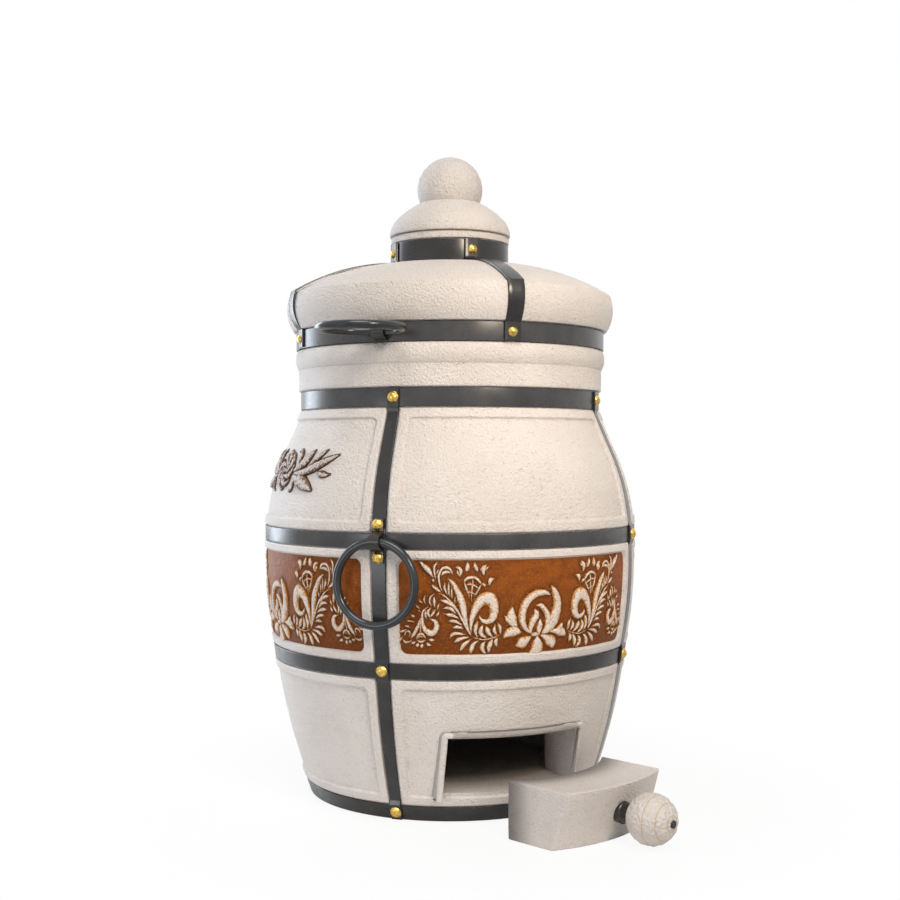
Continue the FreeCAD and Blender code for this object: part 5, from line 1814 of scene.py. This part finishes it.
@dataclass
class AshPlug:
    """The plug on the floor: clay block, ferrule, turned knob and bolt."""

    half: float = 104.0
    low: float = 47.5
    high: float = 130.5
    back: float = 170.0
    deep: float = 80.0
    edge: float = 2.2
    face: float = 252.6
    level: float = 89.0
    neck_end: float = 273.6
    neck: float = 15.0
    ball: float = 36.0
    centre: float = 306.3
    facet: float = 5.6
    bolt: float = 5.5
    bolt_end: float = 343.8
    shift: Vector = field(default_factory=lambda: Vector((1.6, -154.0, -47.5)))
    turn: float = 22.2

    def stand(self) -> Matrix:
        """Matrix that takes the plug from its seat to where it stands."""
        return Matrix.Translation(self.shift) @ Matrix.Rotation(math.radians(self.turn), 4, "Z")

    def along_axis(self) -> Matrix:
        """Matrix that takes pieces turned about +Z to the plug's axis, in its seat."""
        tip = Matrix.Rotation(math.radians(90.0), 4, "X")
        return self.stand() @ Matrix.Translation((0.0, 0.0, self.level)) @ tip

    def block(self, shop: Workshop) -> None:
        """Make the curved clay block.

        Args:
            shop: Workshop that makes the piece.
        """
        half = Vector((self.half, self.deep / 2.0, (self.high - self.low) / 2.0))
        raw, faces = rounded_block(half, self.edge, 7.0)
        middle = (self.high + self.low) / 2.0
        points, soot = [], []
        for place in raw:
            up = middle + place.z
            outer = LOWER.across(up) + 1.0
            share = (self.deep / 2.0 - place.y) / self.deep
            inside = share * self.deep
            radius = outer - (1.0 - share) * self.deep if share > 0.5 else self.back + inside
            edge = smooth(0.5, 5.0, min(inside, self.deep - inside))
            bow = wander(Vector((place.z, radius, 0.0)), 30.0, 0.5)
            side = place.x + math.copysign(bow, place.x)
            radius += wander(Vector((place.x, place.z, 50.0)), 40.0, 0.6) * (1.0 - edge)
            points.append(Vector((side, -math.sqrt(radius ** 2 - side ** 2), up)))
            soot.append(0.8 * smooth(self.back + 50.0, self.back, radius))
        item = shop.piece("plug_block", placed(points, self.stand()), faces, CLAY, Slot.CLAY,
                          Rides.PLUG, 50.0, {"soot": soot})
        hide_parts("ash_plug")

    def ferrule(self, shop: Workshop) -> None:
        """Make the ferrule.

        Args:
            shop: Workshop that makes the piece.
        """
        neck, face, end = self.neck, self.face, self.neck_end
        ring = eased([(neck - 6.0, face - 6.0, 0.0), (neck, face - 6.0, 0.0),
                      (neck, face + 3.0, 0.0), (neck + 0.8, face + 4.5, 1.0),
                      (neck + 0.8, face + 7.0, 1.0), (neck - 0.6, face + 9.0, 1.5),
                      (neck - 0.6, end - 3.0, 1.5), (neck, end, 0.6), (neck - 6.0, end, 0.0)])
        points, faces = lathe(ring, 72)
        item = shop.piece("ferrule", placed(points, self.along_axis()), faces, STEEL, Slot.STEEL,
                          Rides.PLUG)
        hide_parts("plug_ferrule")

    def rod(self, shop: Workshop) -> None:
        """Make the bolt, whose end shows at the front of the knob.

        Args:
            shop: Workshop that makes the piece.
        """
        foot = self.face - 30.0
        outline = eased([(0.0, foot, 0.0), (self.bolt, foot, 0.0),
                         (self.bolt, self.bolt_end, 1.2), (0.0, self.bolt_end, 0.0)])
        points, faces = lathe(outline, 48)
        item = shop.piece("bolt", placed(points, self.along_axis()), faces, STEEL, Slot.STEEL,
                          Rides.PLUG)
        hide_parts("plug_bolt")

    def knob(self, shop: Workshop) -> None:
        """Make the turned knob with its gilt lines.

        Args:
            shop: Workshop that makes the piece.
        """
        outline: list[Point] = []
        gilt: list[float] = []
        grooves = (103.0, 133.0, 162.0)
        start = math.degrees(math.asin(self.neck / self.ball))
        inner = self.bolt + 0.2
        outline.append((inner, self.centre - math.sqrt(self.ball ** 2 - self.neck ** 2)))
        gilt.append(0.0)
        end = math.degrees(math.asin(inner / self.ball))
        for angle in spread(start, 180.0 - end, 1.0) + [180.0 - end]:
            groove = max(math.exp(-((angle - place) / 1.1) ** 2) for place in grooves)
            radius = self.ball - 0.75 * groove
            outline.append((radius * math.sin(math.radians(angle)),
                            self.centre - radius * math.cos(math.radians(angle))))
            gilt.append(smooth(0.2, 0.75, groove))
        segments, heart = 160, UP * self.centre
        points, faces = lathe(outline, segments)
        marks = [mark for mark in gilt for step in range(segments)]
        dented = []
        for point, mark in zip(points, marks):
            facet = min(noise.voronoi(point / self.facet)[0][0], 1.0) ** 2
            dented.append(point + (point - heart).normalized() * (2.0 * facet - 1.3) * (1.0 - mark))
        item = shop.piece("turned_knob", placed(dented, self.along_axis()), faces, KNOB, Slot.KNOB,
                          Rides.PLUG, 50.0, {"gilt": marks})
        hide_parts("plug_knob")


# ---- steel cage ---------------------------------------------------------------------------------

def torus(centre: Vector, normal: Vector, radius: float, bar: float,
          segments: int = 128, sides: int = 24) -> Shape:
    """Ring of round bar.

    Args:
        centre: Centre of the ring.
        normal: Axis of the ring.
        radius: Radius to the middle of the bar.
        bar: Radius of the bar.
        segments: Steps round the ring.
        sides: Steps round the bar.

    Returns:
        Points and faces.
    """
    first = normal.orthogonal().normalized()
    second = normal.cross(first)
    points, faces = [], []
    for step in range(segments):
        angle = math.tau * step / segments
        heading = first * math.cos(angle) + second * math.sin(angle)
        for side in range(sides):
            turn = math.tau * side / sides
            out = radius + bar * math.cos(turn)
            points.append(centre + heading * out + normal * bar * math.sin(turn))
            after, beside = (step + 1) % segments, (side + 1) % sides
            faces.append([step * sides + side, after * sides + side, after * sides + beside,
                          step * sides + beside])
    return points, faces


def bent(path: Sequence[Point], width: Callable[[float], float]) -> list[Station]:
    """Stations of a strip whose outer face follows a path upwards.

    Args:
        path: Across and up of the outer face, from its lower end.
        width: Width of the strip at a distance from the axis.

    Returns:
        Stations with normals that point outwards.
    """
    stations = []
    for index, (across, up) in enumerate(path):
        before, after = path[max(index - 1, 0)], path[min(index + 1, len(path) - 1)]
        rise, run = after[1] - before[1], after[0] - before[0]
        length = math.hypot(rise, run)
        stations.append(Station(across, up, rise / length, -run / length, width(across)))
    return stations


@dataclass
class Rivet:
    """Domed rivet heads."""

    radius: float = 8.75
    dome: float = 5.8

    def head(self, matrix: Matrix, seed: float) -> Shape:
        """One hammered head.

        Args:
            matrix: Takes a head turned about +Z to its seat.
            seed: Shifts the dents, so that no two heads are alike.

        Returns:
            Points and faces.
        """
        ball = (self.radius ** 2 + self.dome ** 2) / (2.0 * self.dome)
        outline: list[Point] = [(0.0, -1.0), (self.radius - 0.4, -1.0), (self.radius, 0.0),
                                (self.radius - 0.05, 0.5)]
        first = math.asin((self.radius - 0.35) / ball)
        for step in range(12):
            angle = first * (1.0 - step / 11.0)
            outline.append((ball * math.sin(angle), self.dome - ball + ball * math.cos(angle)))
        outline[-1] = (0.0, self.dome)
        points, faces = lathe(outline, 36)
        dented = [point + point.normalized() * wander(point + Vector((seed, 0.0, 0.0)), 5.0, 0.24)
                  if point.z > 0.6 else point for point in points]
        return placed(dented, matrix), faces

    def group(self, shop: Workshop, name: str, node: str, seats: Sequence[Matrix],
              body: Rides) -> None:
        """Make the heads of one node of the frame.

        Args:
            shop: Workshop that makes the piece.
            name: Name of the piece.
            node: Node that it stands for.
            seats: Matrices of the heads' seats.
            body: Body that they ride on.
        """
        points: list[Vector] = []
        faces: list[list[int]] = []
        for index, seat in enumerate(seats):
            spots, sides = self.head(seat, 37.0 * index)
            faces += [[len(points) + corner for corner in side] for side in sides]
            points += spots
        item = shop.piece(name, points, faces, BRASS, Slot.BRASS, body, 50.0)
        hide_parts(node)


def seat(across: float, up: float, azimuth: float, tilt: float = 0.0,
         aside: float = 0.0) -> Matrix:
    """Seat of a head that is turned about +Z.

    Args:
        across: Distance of the seat from the oven's axis.
        up: Its height.
        azimuth: Its azimuth.
        tilt: How far its axis points down, in degrees.
        aside: How far it lies along the wall from the azimuth.

    Returns:
        Matrix that takes the head to its seat.
    """
    lean = math.radians(tilt)
    axis = outward(azimuth) * math.cos(lean) - UP * math.sin(lean)
    place = about(azimuth, across, up) + tangent(azimuth) * aside
    return Matrix.Translation(place) @ axis.to_track_quat("Z", "Y").to_matrix().to_4x4()


@dataclass
class Cagework:
    """Hoops, straps, clips, rings and rivets of the body."""

    ring_radius: float = 59.6
    bar: float = 6.2
    pivot_across: float = 309.4
    pivot: float = 415.0
    jog: float = 7.0

    def hoops(self) -> dict[str, Point]:
        """Edges of the four hoops by name."""
        return {"bottom": CAGE.bottom, "lower": CAGE.lower, "middle": CAGE.middle,
                "top": CAGE.top}

    def strap_offset(self, up: float) -> float:
        """How far a strap's outer face lies outside the bed.

        Args:
            up: Height on the strap.

        Returns:
            The distance there: more where the strap steps over a hoop.
        """
        beyond = min(max(low - up, up - high, 0.6) for low, high in self.hoops().values())
        over = max(0.0, (self.jog - beyond) / (self.jog - 0.6))
        return CAGE.strap_thickness + CAGE.hoop_thickness * over

    def build(self, shop: Workshop) -> None:
        """Make all pieces of the cage.

        Args:
            shop: Workshop that makes the pieces.
        """
        for place, (low, high) in self.hoops().items():
            points, faces = hoop((bed(low), low), (bed(high), high),
                                 CAGE.hoop_thickness - HOOP_UNEVEN)
            # Painted sheen: the middle and top hoops take the lighter steel.
            finish = PAINTED_SHEEN_BAND_STEEL if place in ("middle", "top") else STEEL
            item = shop.piece(f"band_{place}", points, faces, finish, Slot.STEEL, Rides.OVEN)
            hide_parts(f"hoop_{place}")
        names = ("front_left", "front_right", "back_right", "back_left")
        for name, azimuth in zip(names, CAGE.strap_azimuths()):
            self.strap(shop, name, azimuth)
        shop.dress(("ring_clip_front", "ring_clip_back"), STEEL, 0.9)
        for place, azimuth, body in (("front", CAGE.strap_azimuths()[0], Rides.FRONT_RING),
                                     ("back", CAGE.strap_azimuths()[2], Rides.BACK_RING)):
            centre = about(azimuth, self.pivot_across, self.pivot - self.ring_radius)
            points, faces = torus(centre, outward(azimuth), self.ring_radius, self.bar)
            item = shop.piece(f"handle_{place}", points, faces, RING_STEEL, Slot.STEEL, body)
            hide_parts(f"body_ring_{place}")
        self.rivets(shop)

    def strap(self, shop: Workshop, name: str, azimuth: float) -> None:
        """Make one upright strap.

        Args:
            shop: Workshop that makes the piece.
            name: Name of the strap.
            azimuth: Azimuth of its middle.
        """
        first, last = CAGE.foot, CAGE.top[1]
        levels = set(spread(first, last, 9.0) + [last])
        for low, high in self.hoops().values():
            for step in range(9):
                ahead = 0.6 + (self.jog - 0.6) * step / 8.0
                levels |= {low - ahead, high + ahead}
        rows = sorted(level for level in levels if first <= level <= last)
        path = [(bed(up) + self.strap_offset(up), up) for up in rows]
        wide = math.radians(CAGE.strap_angle)
        points, faces = strip(bent(path, lambda across: wide * across), azimuth)
        uneven = [point + outward(azimuth) * wander(point, 80.0, 0.3) for point in points]
        item = shop.piece(f"upright_{name}", uneven, faces, STEEL, Slot.STEEL, Rides.OVEN, 18.0)
        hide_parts(f"strap_{name}")

    def rivets(self, shop: Workshop) -> None:
        """Make the rivet heads of the body.

        Args:
            shop: Workshop that makes the pieces.
        """
        seats = []
        cross = CAGE.hoop_thickness + CAGE.strap_thickness
        azimuths = CAGE.strap_azimuths()
        for place, (low, high) in self.hoops().items():
            tilt = math.degrees(math.atan2(bed(high) - bed(low), high - low))
            for quarter, azimuth in enumerate(azimuths):
                if place == "middle" and quarter in (0, 2):
                    continue
                middle = (low + high) / 2.0
                seats.append(seat((bed(low) + bed(high)) / 2.0 + cross, middle, azimuth, tilt))
        seats += [seat(249.0, 652.0, CAGE.hinge, aside=aside) for aside in CAGE.hinge_rivets]
        Rivet().group(shop, "cage_rivets", "body_rivets", seats, Rides.OVEN)
        offset = 10.2 * math.sin(math.radians(60.0)) + 6.0 + 8.5
        clip = [seat(301.2, self.pivot + side * offset, azimuths[quarter])
                for quarter in (0, 2) for side in (-1.0, 1.0)]
        Rivet().group(shop, "handle_rivets", "clip_rivets", clip, Rides.OVEN)


# ---- lid ----------------------------------------------------------------------------------------

@dataclass
class Lid:
    """The clay lid with its bands, straps and ring, the vent cap and the hinge."""

    base: float = 703.3
    band_across: float = 245.0
    band_top: float = 732.3
    skirt: float = 733.8
    skirt_across: float = 253.0
    shoulder: float = 790.0
    shoulder_across: float = 259.5
    dome_top: float = 840.0
    dome_bulge: float = 11.0
    neck_across: float = 91.2
    dome_steps: tuple[int, int] = (9, 30)
    neck_band: Point = (841.5, 875.5)
    mouth: float = 188.5
    hollow: float = 195.5
    hollow_foot: float = 48.0
    hollow_depth: float = 39.0
    collar: float = 877.0
    collar_across: float = 95.4
    collar_top: float = 888.0
    vent: float = 62.0
    turn: float = -1.0
    strap_width: float = 26.0
    clip_azimuth: float = -46.0
    ring_hold: float = 256.7
    ring_level: float = 717.8
    ring_radius: float = 59.6
    bar: float = 6.2
    cap_base: float = 888.3
    cap_rim: float = 97.6
    ball: float = 52.9
    ball_centre: float = 967.6

    def dome_line(self, out: float) -> list[Point]:
        """Shoulder and dome, without the dome's upper end.

        Args:
            out: How far the line is moved out and up.

        Returns:
            Across and up of its points, upwards.
        """
        foot = self.neck_across + 9.0
        first = (self.skirt_across + out, self.skirt + out)
        crease = (self.shoulder_across + out, self.shoulder + out)
        top = (foot + out, self.dome_top + out)
        via = ((self.skirt_across + self.shoulder_across) / 2.0 + 7.0 + out,
               (self.skirt + self.shoulder) / 2.0 + out)
        over = ((foot + self.shoulder_across) / 2.0 + out,
                (self.dome_top + self.shoulder) / 2.0 + self.dome_bulge + out)
        shoulder, dome = self.dome_steps
        return arc(first, via, crease, shoulder) + arc(crease, over, top, dome)

    def dome(self, shop: Workshop) -> None:
        """Make the clay of the lid.

        Args:
            shop: Workshop that makes the piece.
        """
        line = [(across, up, 0.0) for across, up in self.dome_line(0.0)]
        for corner, radius in ((0, 2.4), (self.dome_steps[0], 1.6)):
            line[corner] = (*line[corner][:2], radius)
        under, foot = self.dome_top - self.hollow_depth, self.base + self.hollow_foot
        via = ((self.vent + self.hollow) / 2.0, (under + foot) / 2.0 + 14.5)
        inside = [(across, up, 0.0) for across, up in
                  arc((self.vent, under), via, (self.hollow, foot), 12)]
        neck, collar = self.neck_across, self.collar_across
        outline = eased([(self.mouth, self.base, 2.0), (self.band_across, self.base, 1.0),
                         (self.band_across, self.skirt, 0.0), *line,
                         (neck + 9.0, self.dome_top, 2.0), (neck, self.dome_top, 0.0),
                         (neck, self.collar, 0.0), (collar, self.collar, 1.5),
                         (collar, self.collar_top, 3.2), (self.vent, self.collar_top, 2.0),
                         *inside, (self.hollow, foot, 4.0)])
        points, faces = lathe(outline, WIDE_STEPS, 0.45)
        soot = [0.85 * smooth(self.skirt + 90.0, self.skirt + 20.0, point.z)
                * (1.0 if math.hypot(point.x, point.y) < 200.0 else 0.0) for point in points]
        item = shop.piece("lid_clay", points, faces, CLAY, Slot.CLAY, Rides.LID, 50.0,
                          {"soot": soot})
        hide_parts("lid_dome")

    def metal(self, shop: Workshop) -> None:
        """Make the bands, the straps, the ring and the rivets of the lid.

        Args:
            shop: Workshop that makes the pieces.
        """
        # Painted sheen: the lid band takes the lighter steel.
        for name, across, (low, high), finish in (
                ("lid_band", self.band_across, (self.base, self.band_top), PAINTED_SHEEN_BAND_STEEL),
                ("neck_band", self.neck_across, self.neck_band, STEEL)):
            points, faces = hoop((across, low), (across, high), CAGE.hoop_thickness)
            item = shop.piece(f"{name}_steel", points, faces, finish, Slot.STEEL, Rides.LID)
            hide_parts(name)
        tab, top = self.band_across + 6.5, self.neck_across + 6.5
        path = eased([(tab, self.base + 1.5, 0.0), (tab, self.band_top, 2.5),
                      *[(across, up, 0.0) for across, up in self.dome_line(3.0)],
                      (self.neck_across + 13.0, self.dome_top + 3.2, 3.0),
                      (top, self.dome_top + 6.5, 3.0), (top, self.neck_band[1], 0.0)])
        middle, seats = (self.base + self.band_top) / 2.0, []
        for quarter, place in enumerate(SIDES):
            azimuth = self.turn + 90.0 * quarter
            points, faces = strip(bent(path, lambda across: self.strap_width), azimuth)
            item = shop.piece(f"lid_upright_{place}", points, faces, STEEL, Slot.STEEL, Rides.LID)
            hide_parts(f"lid_strap_{place}")
            seats += [seat(tab, middle, azimuth), seat(top, sum(self.neck_band) / 2.0, azimuth)]
        seats += [seat(253.0, 720.65, CAGE.hinge, aside=aside) for aside in CAGE.hinge_rivets]
        Rivet(7.5, 4.8).group(shop, "lid_rivet_heads", "lid_rivets", seats, Rides.LID)
        shop.dress(("lid_ring_clip",), STEEL, 0.8)
        centre = about(self.clip_azimuth, self.ring_hold + self.ring_radius, self.ring_level)
        points, faces = torus(centre, UP, self.ring_radius, self.bar)
        item = shop.piece("handle_lid", points, faces, RING_STEEL, Slot.STEEL, Rides.LID_HANDLE)
        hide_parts("lid_ring")

    def cap(self, shop: Workshop) -> None:
        """Make the vent cap and its ball.

        Args:
            shop: Workshop that makes the pieces.
        """
        base, rim = self.cap_base, self.cap_rim
        crease, top = (90.6, base + 25.0), (50.0, base + 56.0)
        over = ((crease[0] + top[0]) / 2.0 + 1.8, (crease[1] + top[1]) / 2.0 + 1.8)
        slope = [(across, up, 0.0) for across, up in arc(crease, over, top, 10)[1:]]
        skirt = [(across, up, 0.0) for across, up in
                 arc((rim, base + 5.0), (rim - 2.0, base + 15.0), crease, 6)[1:]]
        outline = eased([(0.0, base - 22.0, 0.0), (60.5, base - 22.0, 1.5), (60.5, base, 0.0),
                         (88.0, base, 0.0), (89.0, base + 1.6, 0.0),
                         (rim, base + 1.6, 1.5), (rim, base + 5.0, 0.0), *skirt, (*crease, 1.6),
                         *slope, (*top, 1.5), (0.0, base + 56.0, 0.0)])
        points, faces = lathe(outline, 192, 0.4)
        item = shop.piece("cap_clay", points, faces, CLAY, Slot.CLAY, Rides.CAP, 50.0)
        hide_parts("vent_cap")
        foot = math.acos((base + 56.0 - self.ball_centre) / self.ball)
        turns = [foot * (1.0 - step / 40.0) for step in range(40)]
        round_line = [(self.ball * math.sin(turn), self.ball_centre + self.ball * math.cos(turn))
                      for turn in turns]
        outline = [(0.0, base + 55.0), (round_line[0][0] - 0.5, base + 55.0), *round_line,
                   (0.0, self.ball_centre + self.ball)]
        points, faces = lathe(outline, 144, 0.4)
        item = shop.piece("cap_ball", points, faces, CLAY, Slot.CLAY, Rides.CAP, 50.0)
        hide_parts("cap_knob")

    def build(self, shop: Workshop) -> None:
        """Make everything on the lid.

        Args:
            shop: Workshop that makes the pieces.
        """
        self.dome(shop)
        self.metal(shop)
        self.cap(shop)
        shop.dress(("hinge_lug", "hinge_leaf"), STEEL, 0.8)
        shop.dress(("hinge_pin",), RING_STEEL, 0.6)


# ---- studio -------------------------------------------------------------------------------------

@dataclass
class Studio:
    """White product studio: camera, soft lamps, world and floor."""

    lens: float = 54.0
    heading: float = 22.4
    distance: float = 2.2
    level: float = 0.5448

    def camera(self) -> None:
        """Set the camera of the photograph."""
        data = bpy.data.cameras.new("camera")
        data.lens, data.sensor_width = self.lens, 36.0
        camera = bpy.data.objects.new("camera", data)
        turn = math.radians(self.heading)
        camera.location = (-self.distance * math.sin(turn), -self.distance * math.cos(turn),
                           self.level)
        camera.rotation_euler = Euler((math.radians(90.0), 0.0, -turn))
        bpy.context.scene.collection.objects.link(camera)
        bpy.context.scene.camera = camera

    def hang(self, light: bpy.types.Light, place: Point, up: float, level: float) -> None:
        """Hang a light so that it looks at the oven.

        Args:
            light: The light.
            place: Azimuth in degrees and distance in metres from the oven's axis.
            up: Height in metres.
            level: Height on the axis that the light looks at, in metres.
        """
        item = bpy.data.objects.new(light.name, light)
        item.location = about(*place, up)
        aim = UP * level - item.location
        item.rotation_euler = aim.to_track_quat("-Z", "Y").to_euler()
        bpy.context.scene.collection.objects.link(item)

    def lamp(self, name: str, place: Point, up: float, size: Point, power: float,
             colour: Colour, spread_angle: float = 180.0, level: float = 0.56) -> None:
        """Add a soft rectangular lamp that looks at the oven.

        Args:
            name: Name of the lamp.
            place: Azimuth in degrees and distance in metres from the oven's axis.
            up: Height in metres.
            size: Width and height in metres.
            power: Power in watts.
            colour: Colour of the light.
            spread_angle: How far the light fans out, in degrees.
            level: Height on the axis that the lamp looks at, in metres.
        """
        data = bpy.data.lights.new(name, "AREA")
        data.shape, data.size, data.size_y = "RECTANGLE", *size
        data.energy, data.color = power, colour
        data.spread = math.radians(spread_angle)
        self.hang(data, place, up, level)

    def sky(self, place: Point, up: float, strength: float, colour: Colour) -> None:
        """Add broad light without falloff that comes from a place.

        Args:
            place: Azimuth in degrees and distance in metres from the oven's axis.
            up: Height in metres.
            strength: Strength in watts per square metre.
            colour: Colour of the light.
        """
        data = bpy.data.lights.new("sky", "SUN")
        data.energy, data.color, data.angle = strength, colour, math.radians(38.0)
        self.hang(data, place, up, 0.56)

    def world(self) -> None:
        """White for the camera and in reflections, plain light for the rest."""
        world = bpy.data.worlds.new("studio")
        nodes = Nodes(world)
        path = nodes.add("ShaderNodeLightPath").outputs
        seen = nodes.work("ADD", path["Is Camera Ray"], path["Is Transmission Ray"])
        seen = nodes.work("ADD", seen, path["Is Glossy Ray"])
        seen.node.use_clamp = True
        nodes.link(nodes.span(seen, 0.0, 1.0, 0.16), nodes.shader.inputs["Strength"])
        nodes.set(Color=(1.0, 1.0, 1.0, 1.0))
        bpy.context.scene.world = world

    def floor(self) -> None:
        """Pale floor that keeps the shadow and fades to white away from the oven."""
        mesh = bpy.data.meshes.new("floor")
        mesh.from_pydata([(-6.0, -6.0, 0.0), (6.0, -6.0, 0.0), (6.0, 6.0, 0.0), (-6.0, 6.0, 0.0)],
                         [], [[0, 1, 2, 3]])
        floor = bpy.data.objects.new("floor", mesh)
        bpy.context.scene.collection.objects.link(floor)
        material = bpy.data.materials.new("floor")
        nodes = Nodes(material)
        nodes.set(Base_Color=(0.86, 0.855, 0.85, 1.0), Roughness=0.42)
        away = nodes.add("ShaderNodeVectorMath", operation="LENGTH")
        nodes.link(nodes.place, away.inputs[0])
        fade = nodes.span(away.outputs["Value"], 0.30, 0.75, 0.90)
        fade.node.interpolation_type = "SMOOTHSTEP"
        path = nodes.add("ShaderNodeLightPath")
        blend = nodes.add("ShaderNodeMixShader")
        shares = (nodes.work("MULTIPLY", fade, path.outputs["Is Camera Ray"]),
                  nodes.shader.outputs[0], nodes.add("ShaderNodeEmission").outputs[0])
        for source, target in zip(shares, blend.inputs):
            nodes.link(source, target)
        out = next(node for node in nodes.tree.nodes if node.type == "OUTPUT_MATERIAL")
        nodes.link(blend.outputs[0], out.inputs["Surface"])
        mesh.materials.append(material)

    def build(self) -> None:
        """Set up the studio."""
        bpy.context.scene.view_settings.view_transform = "Standard"
        self.camera()
        self.sky((-22.0, 1.8), 3.68, 1.8, (1.0, 0.985, 0.975))
        self.lamp("glow", (6.0, 1.9), 1.35, (0.42, 0.42), 2.5, (1.0, 0.84, 0.66), 60.0)
        self.lamp("left", (-146.0, 1.9), 1.0, (0.8, 1.8), 25.0, (0.80, 0.89, 1.0))
        self.lamp("side", (-66.0, 2.0), 0.30, (0.5, 0.5), 0.35, (0.88, 0.93, 1.0), 50.0, 0.08)
        self.lamp("right", (118.0, 2.2), 1.0, (0.4, 1.6), 0.3, (1.0, 0.90, 0.80))
        self.world()
        self.floor()


def main() -> None:
    """Build the whole scene."""
    logging.basicConfig(level=logging.INFO, format="%(message)s")
    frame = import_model()
    LOG.info("frame: %d nodes", len(frame["nodes"]))
    shop = Workshop()
    Jar().build(shop)
    belt = GlazedBelt()
    ornament = Ornament()
    for quarter, place in enumerate(SIDES):
        middle = CAGE.turn + 90.0 * quarter
        belt.build(shop, place, middle, ornament.strokes())
        ornament.build(shop, place, middle, belt)
    Rosette().place(shop)
    AshSurround().build(shop)
    Cagework().build(shop)
    Lid().build(shop)
    plug = AshPlug()
    plug.block(shop)
    plug.ferrule(shop)
    plug.knob(shop)
    plug.rod(shop)
    shop.dress(("fire_grate",), IRON, 0.8)
    Studio().build()


if __name__ == "__main__":
    main()
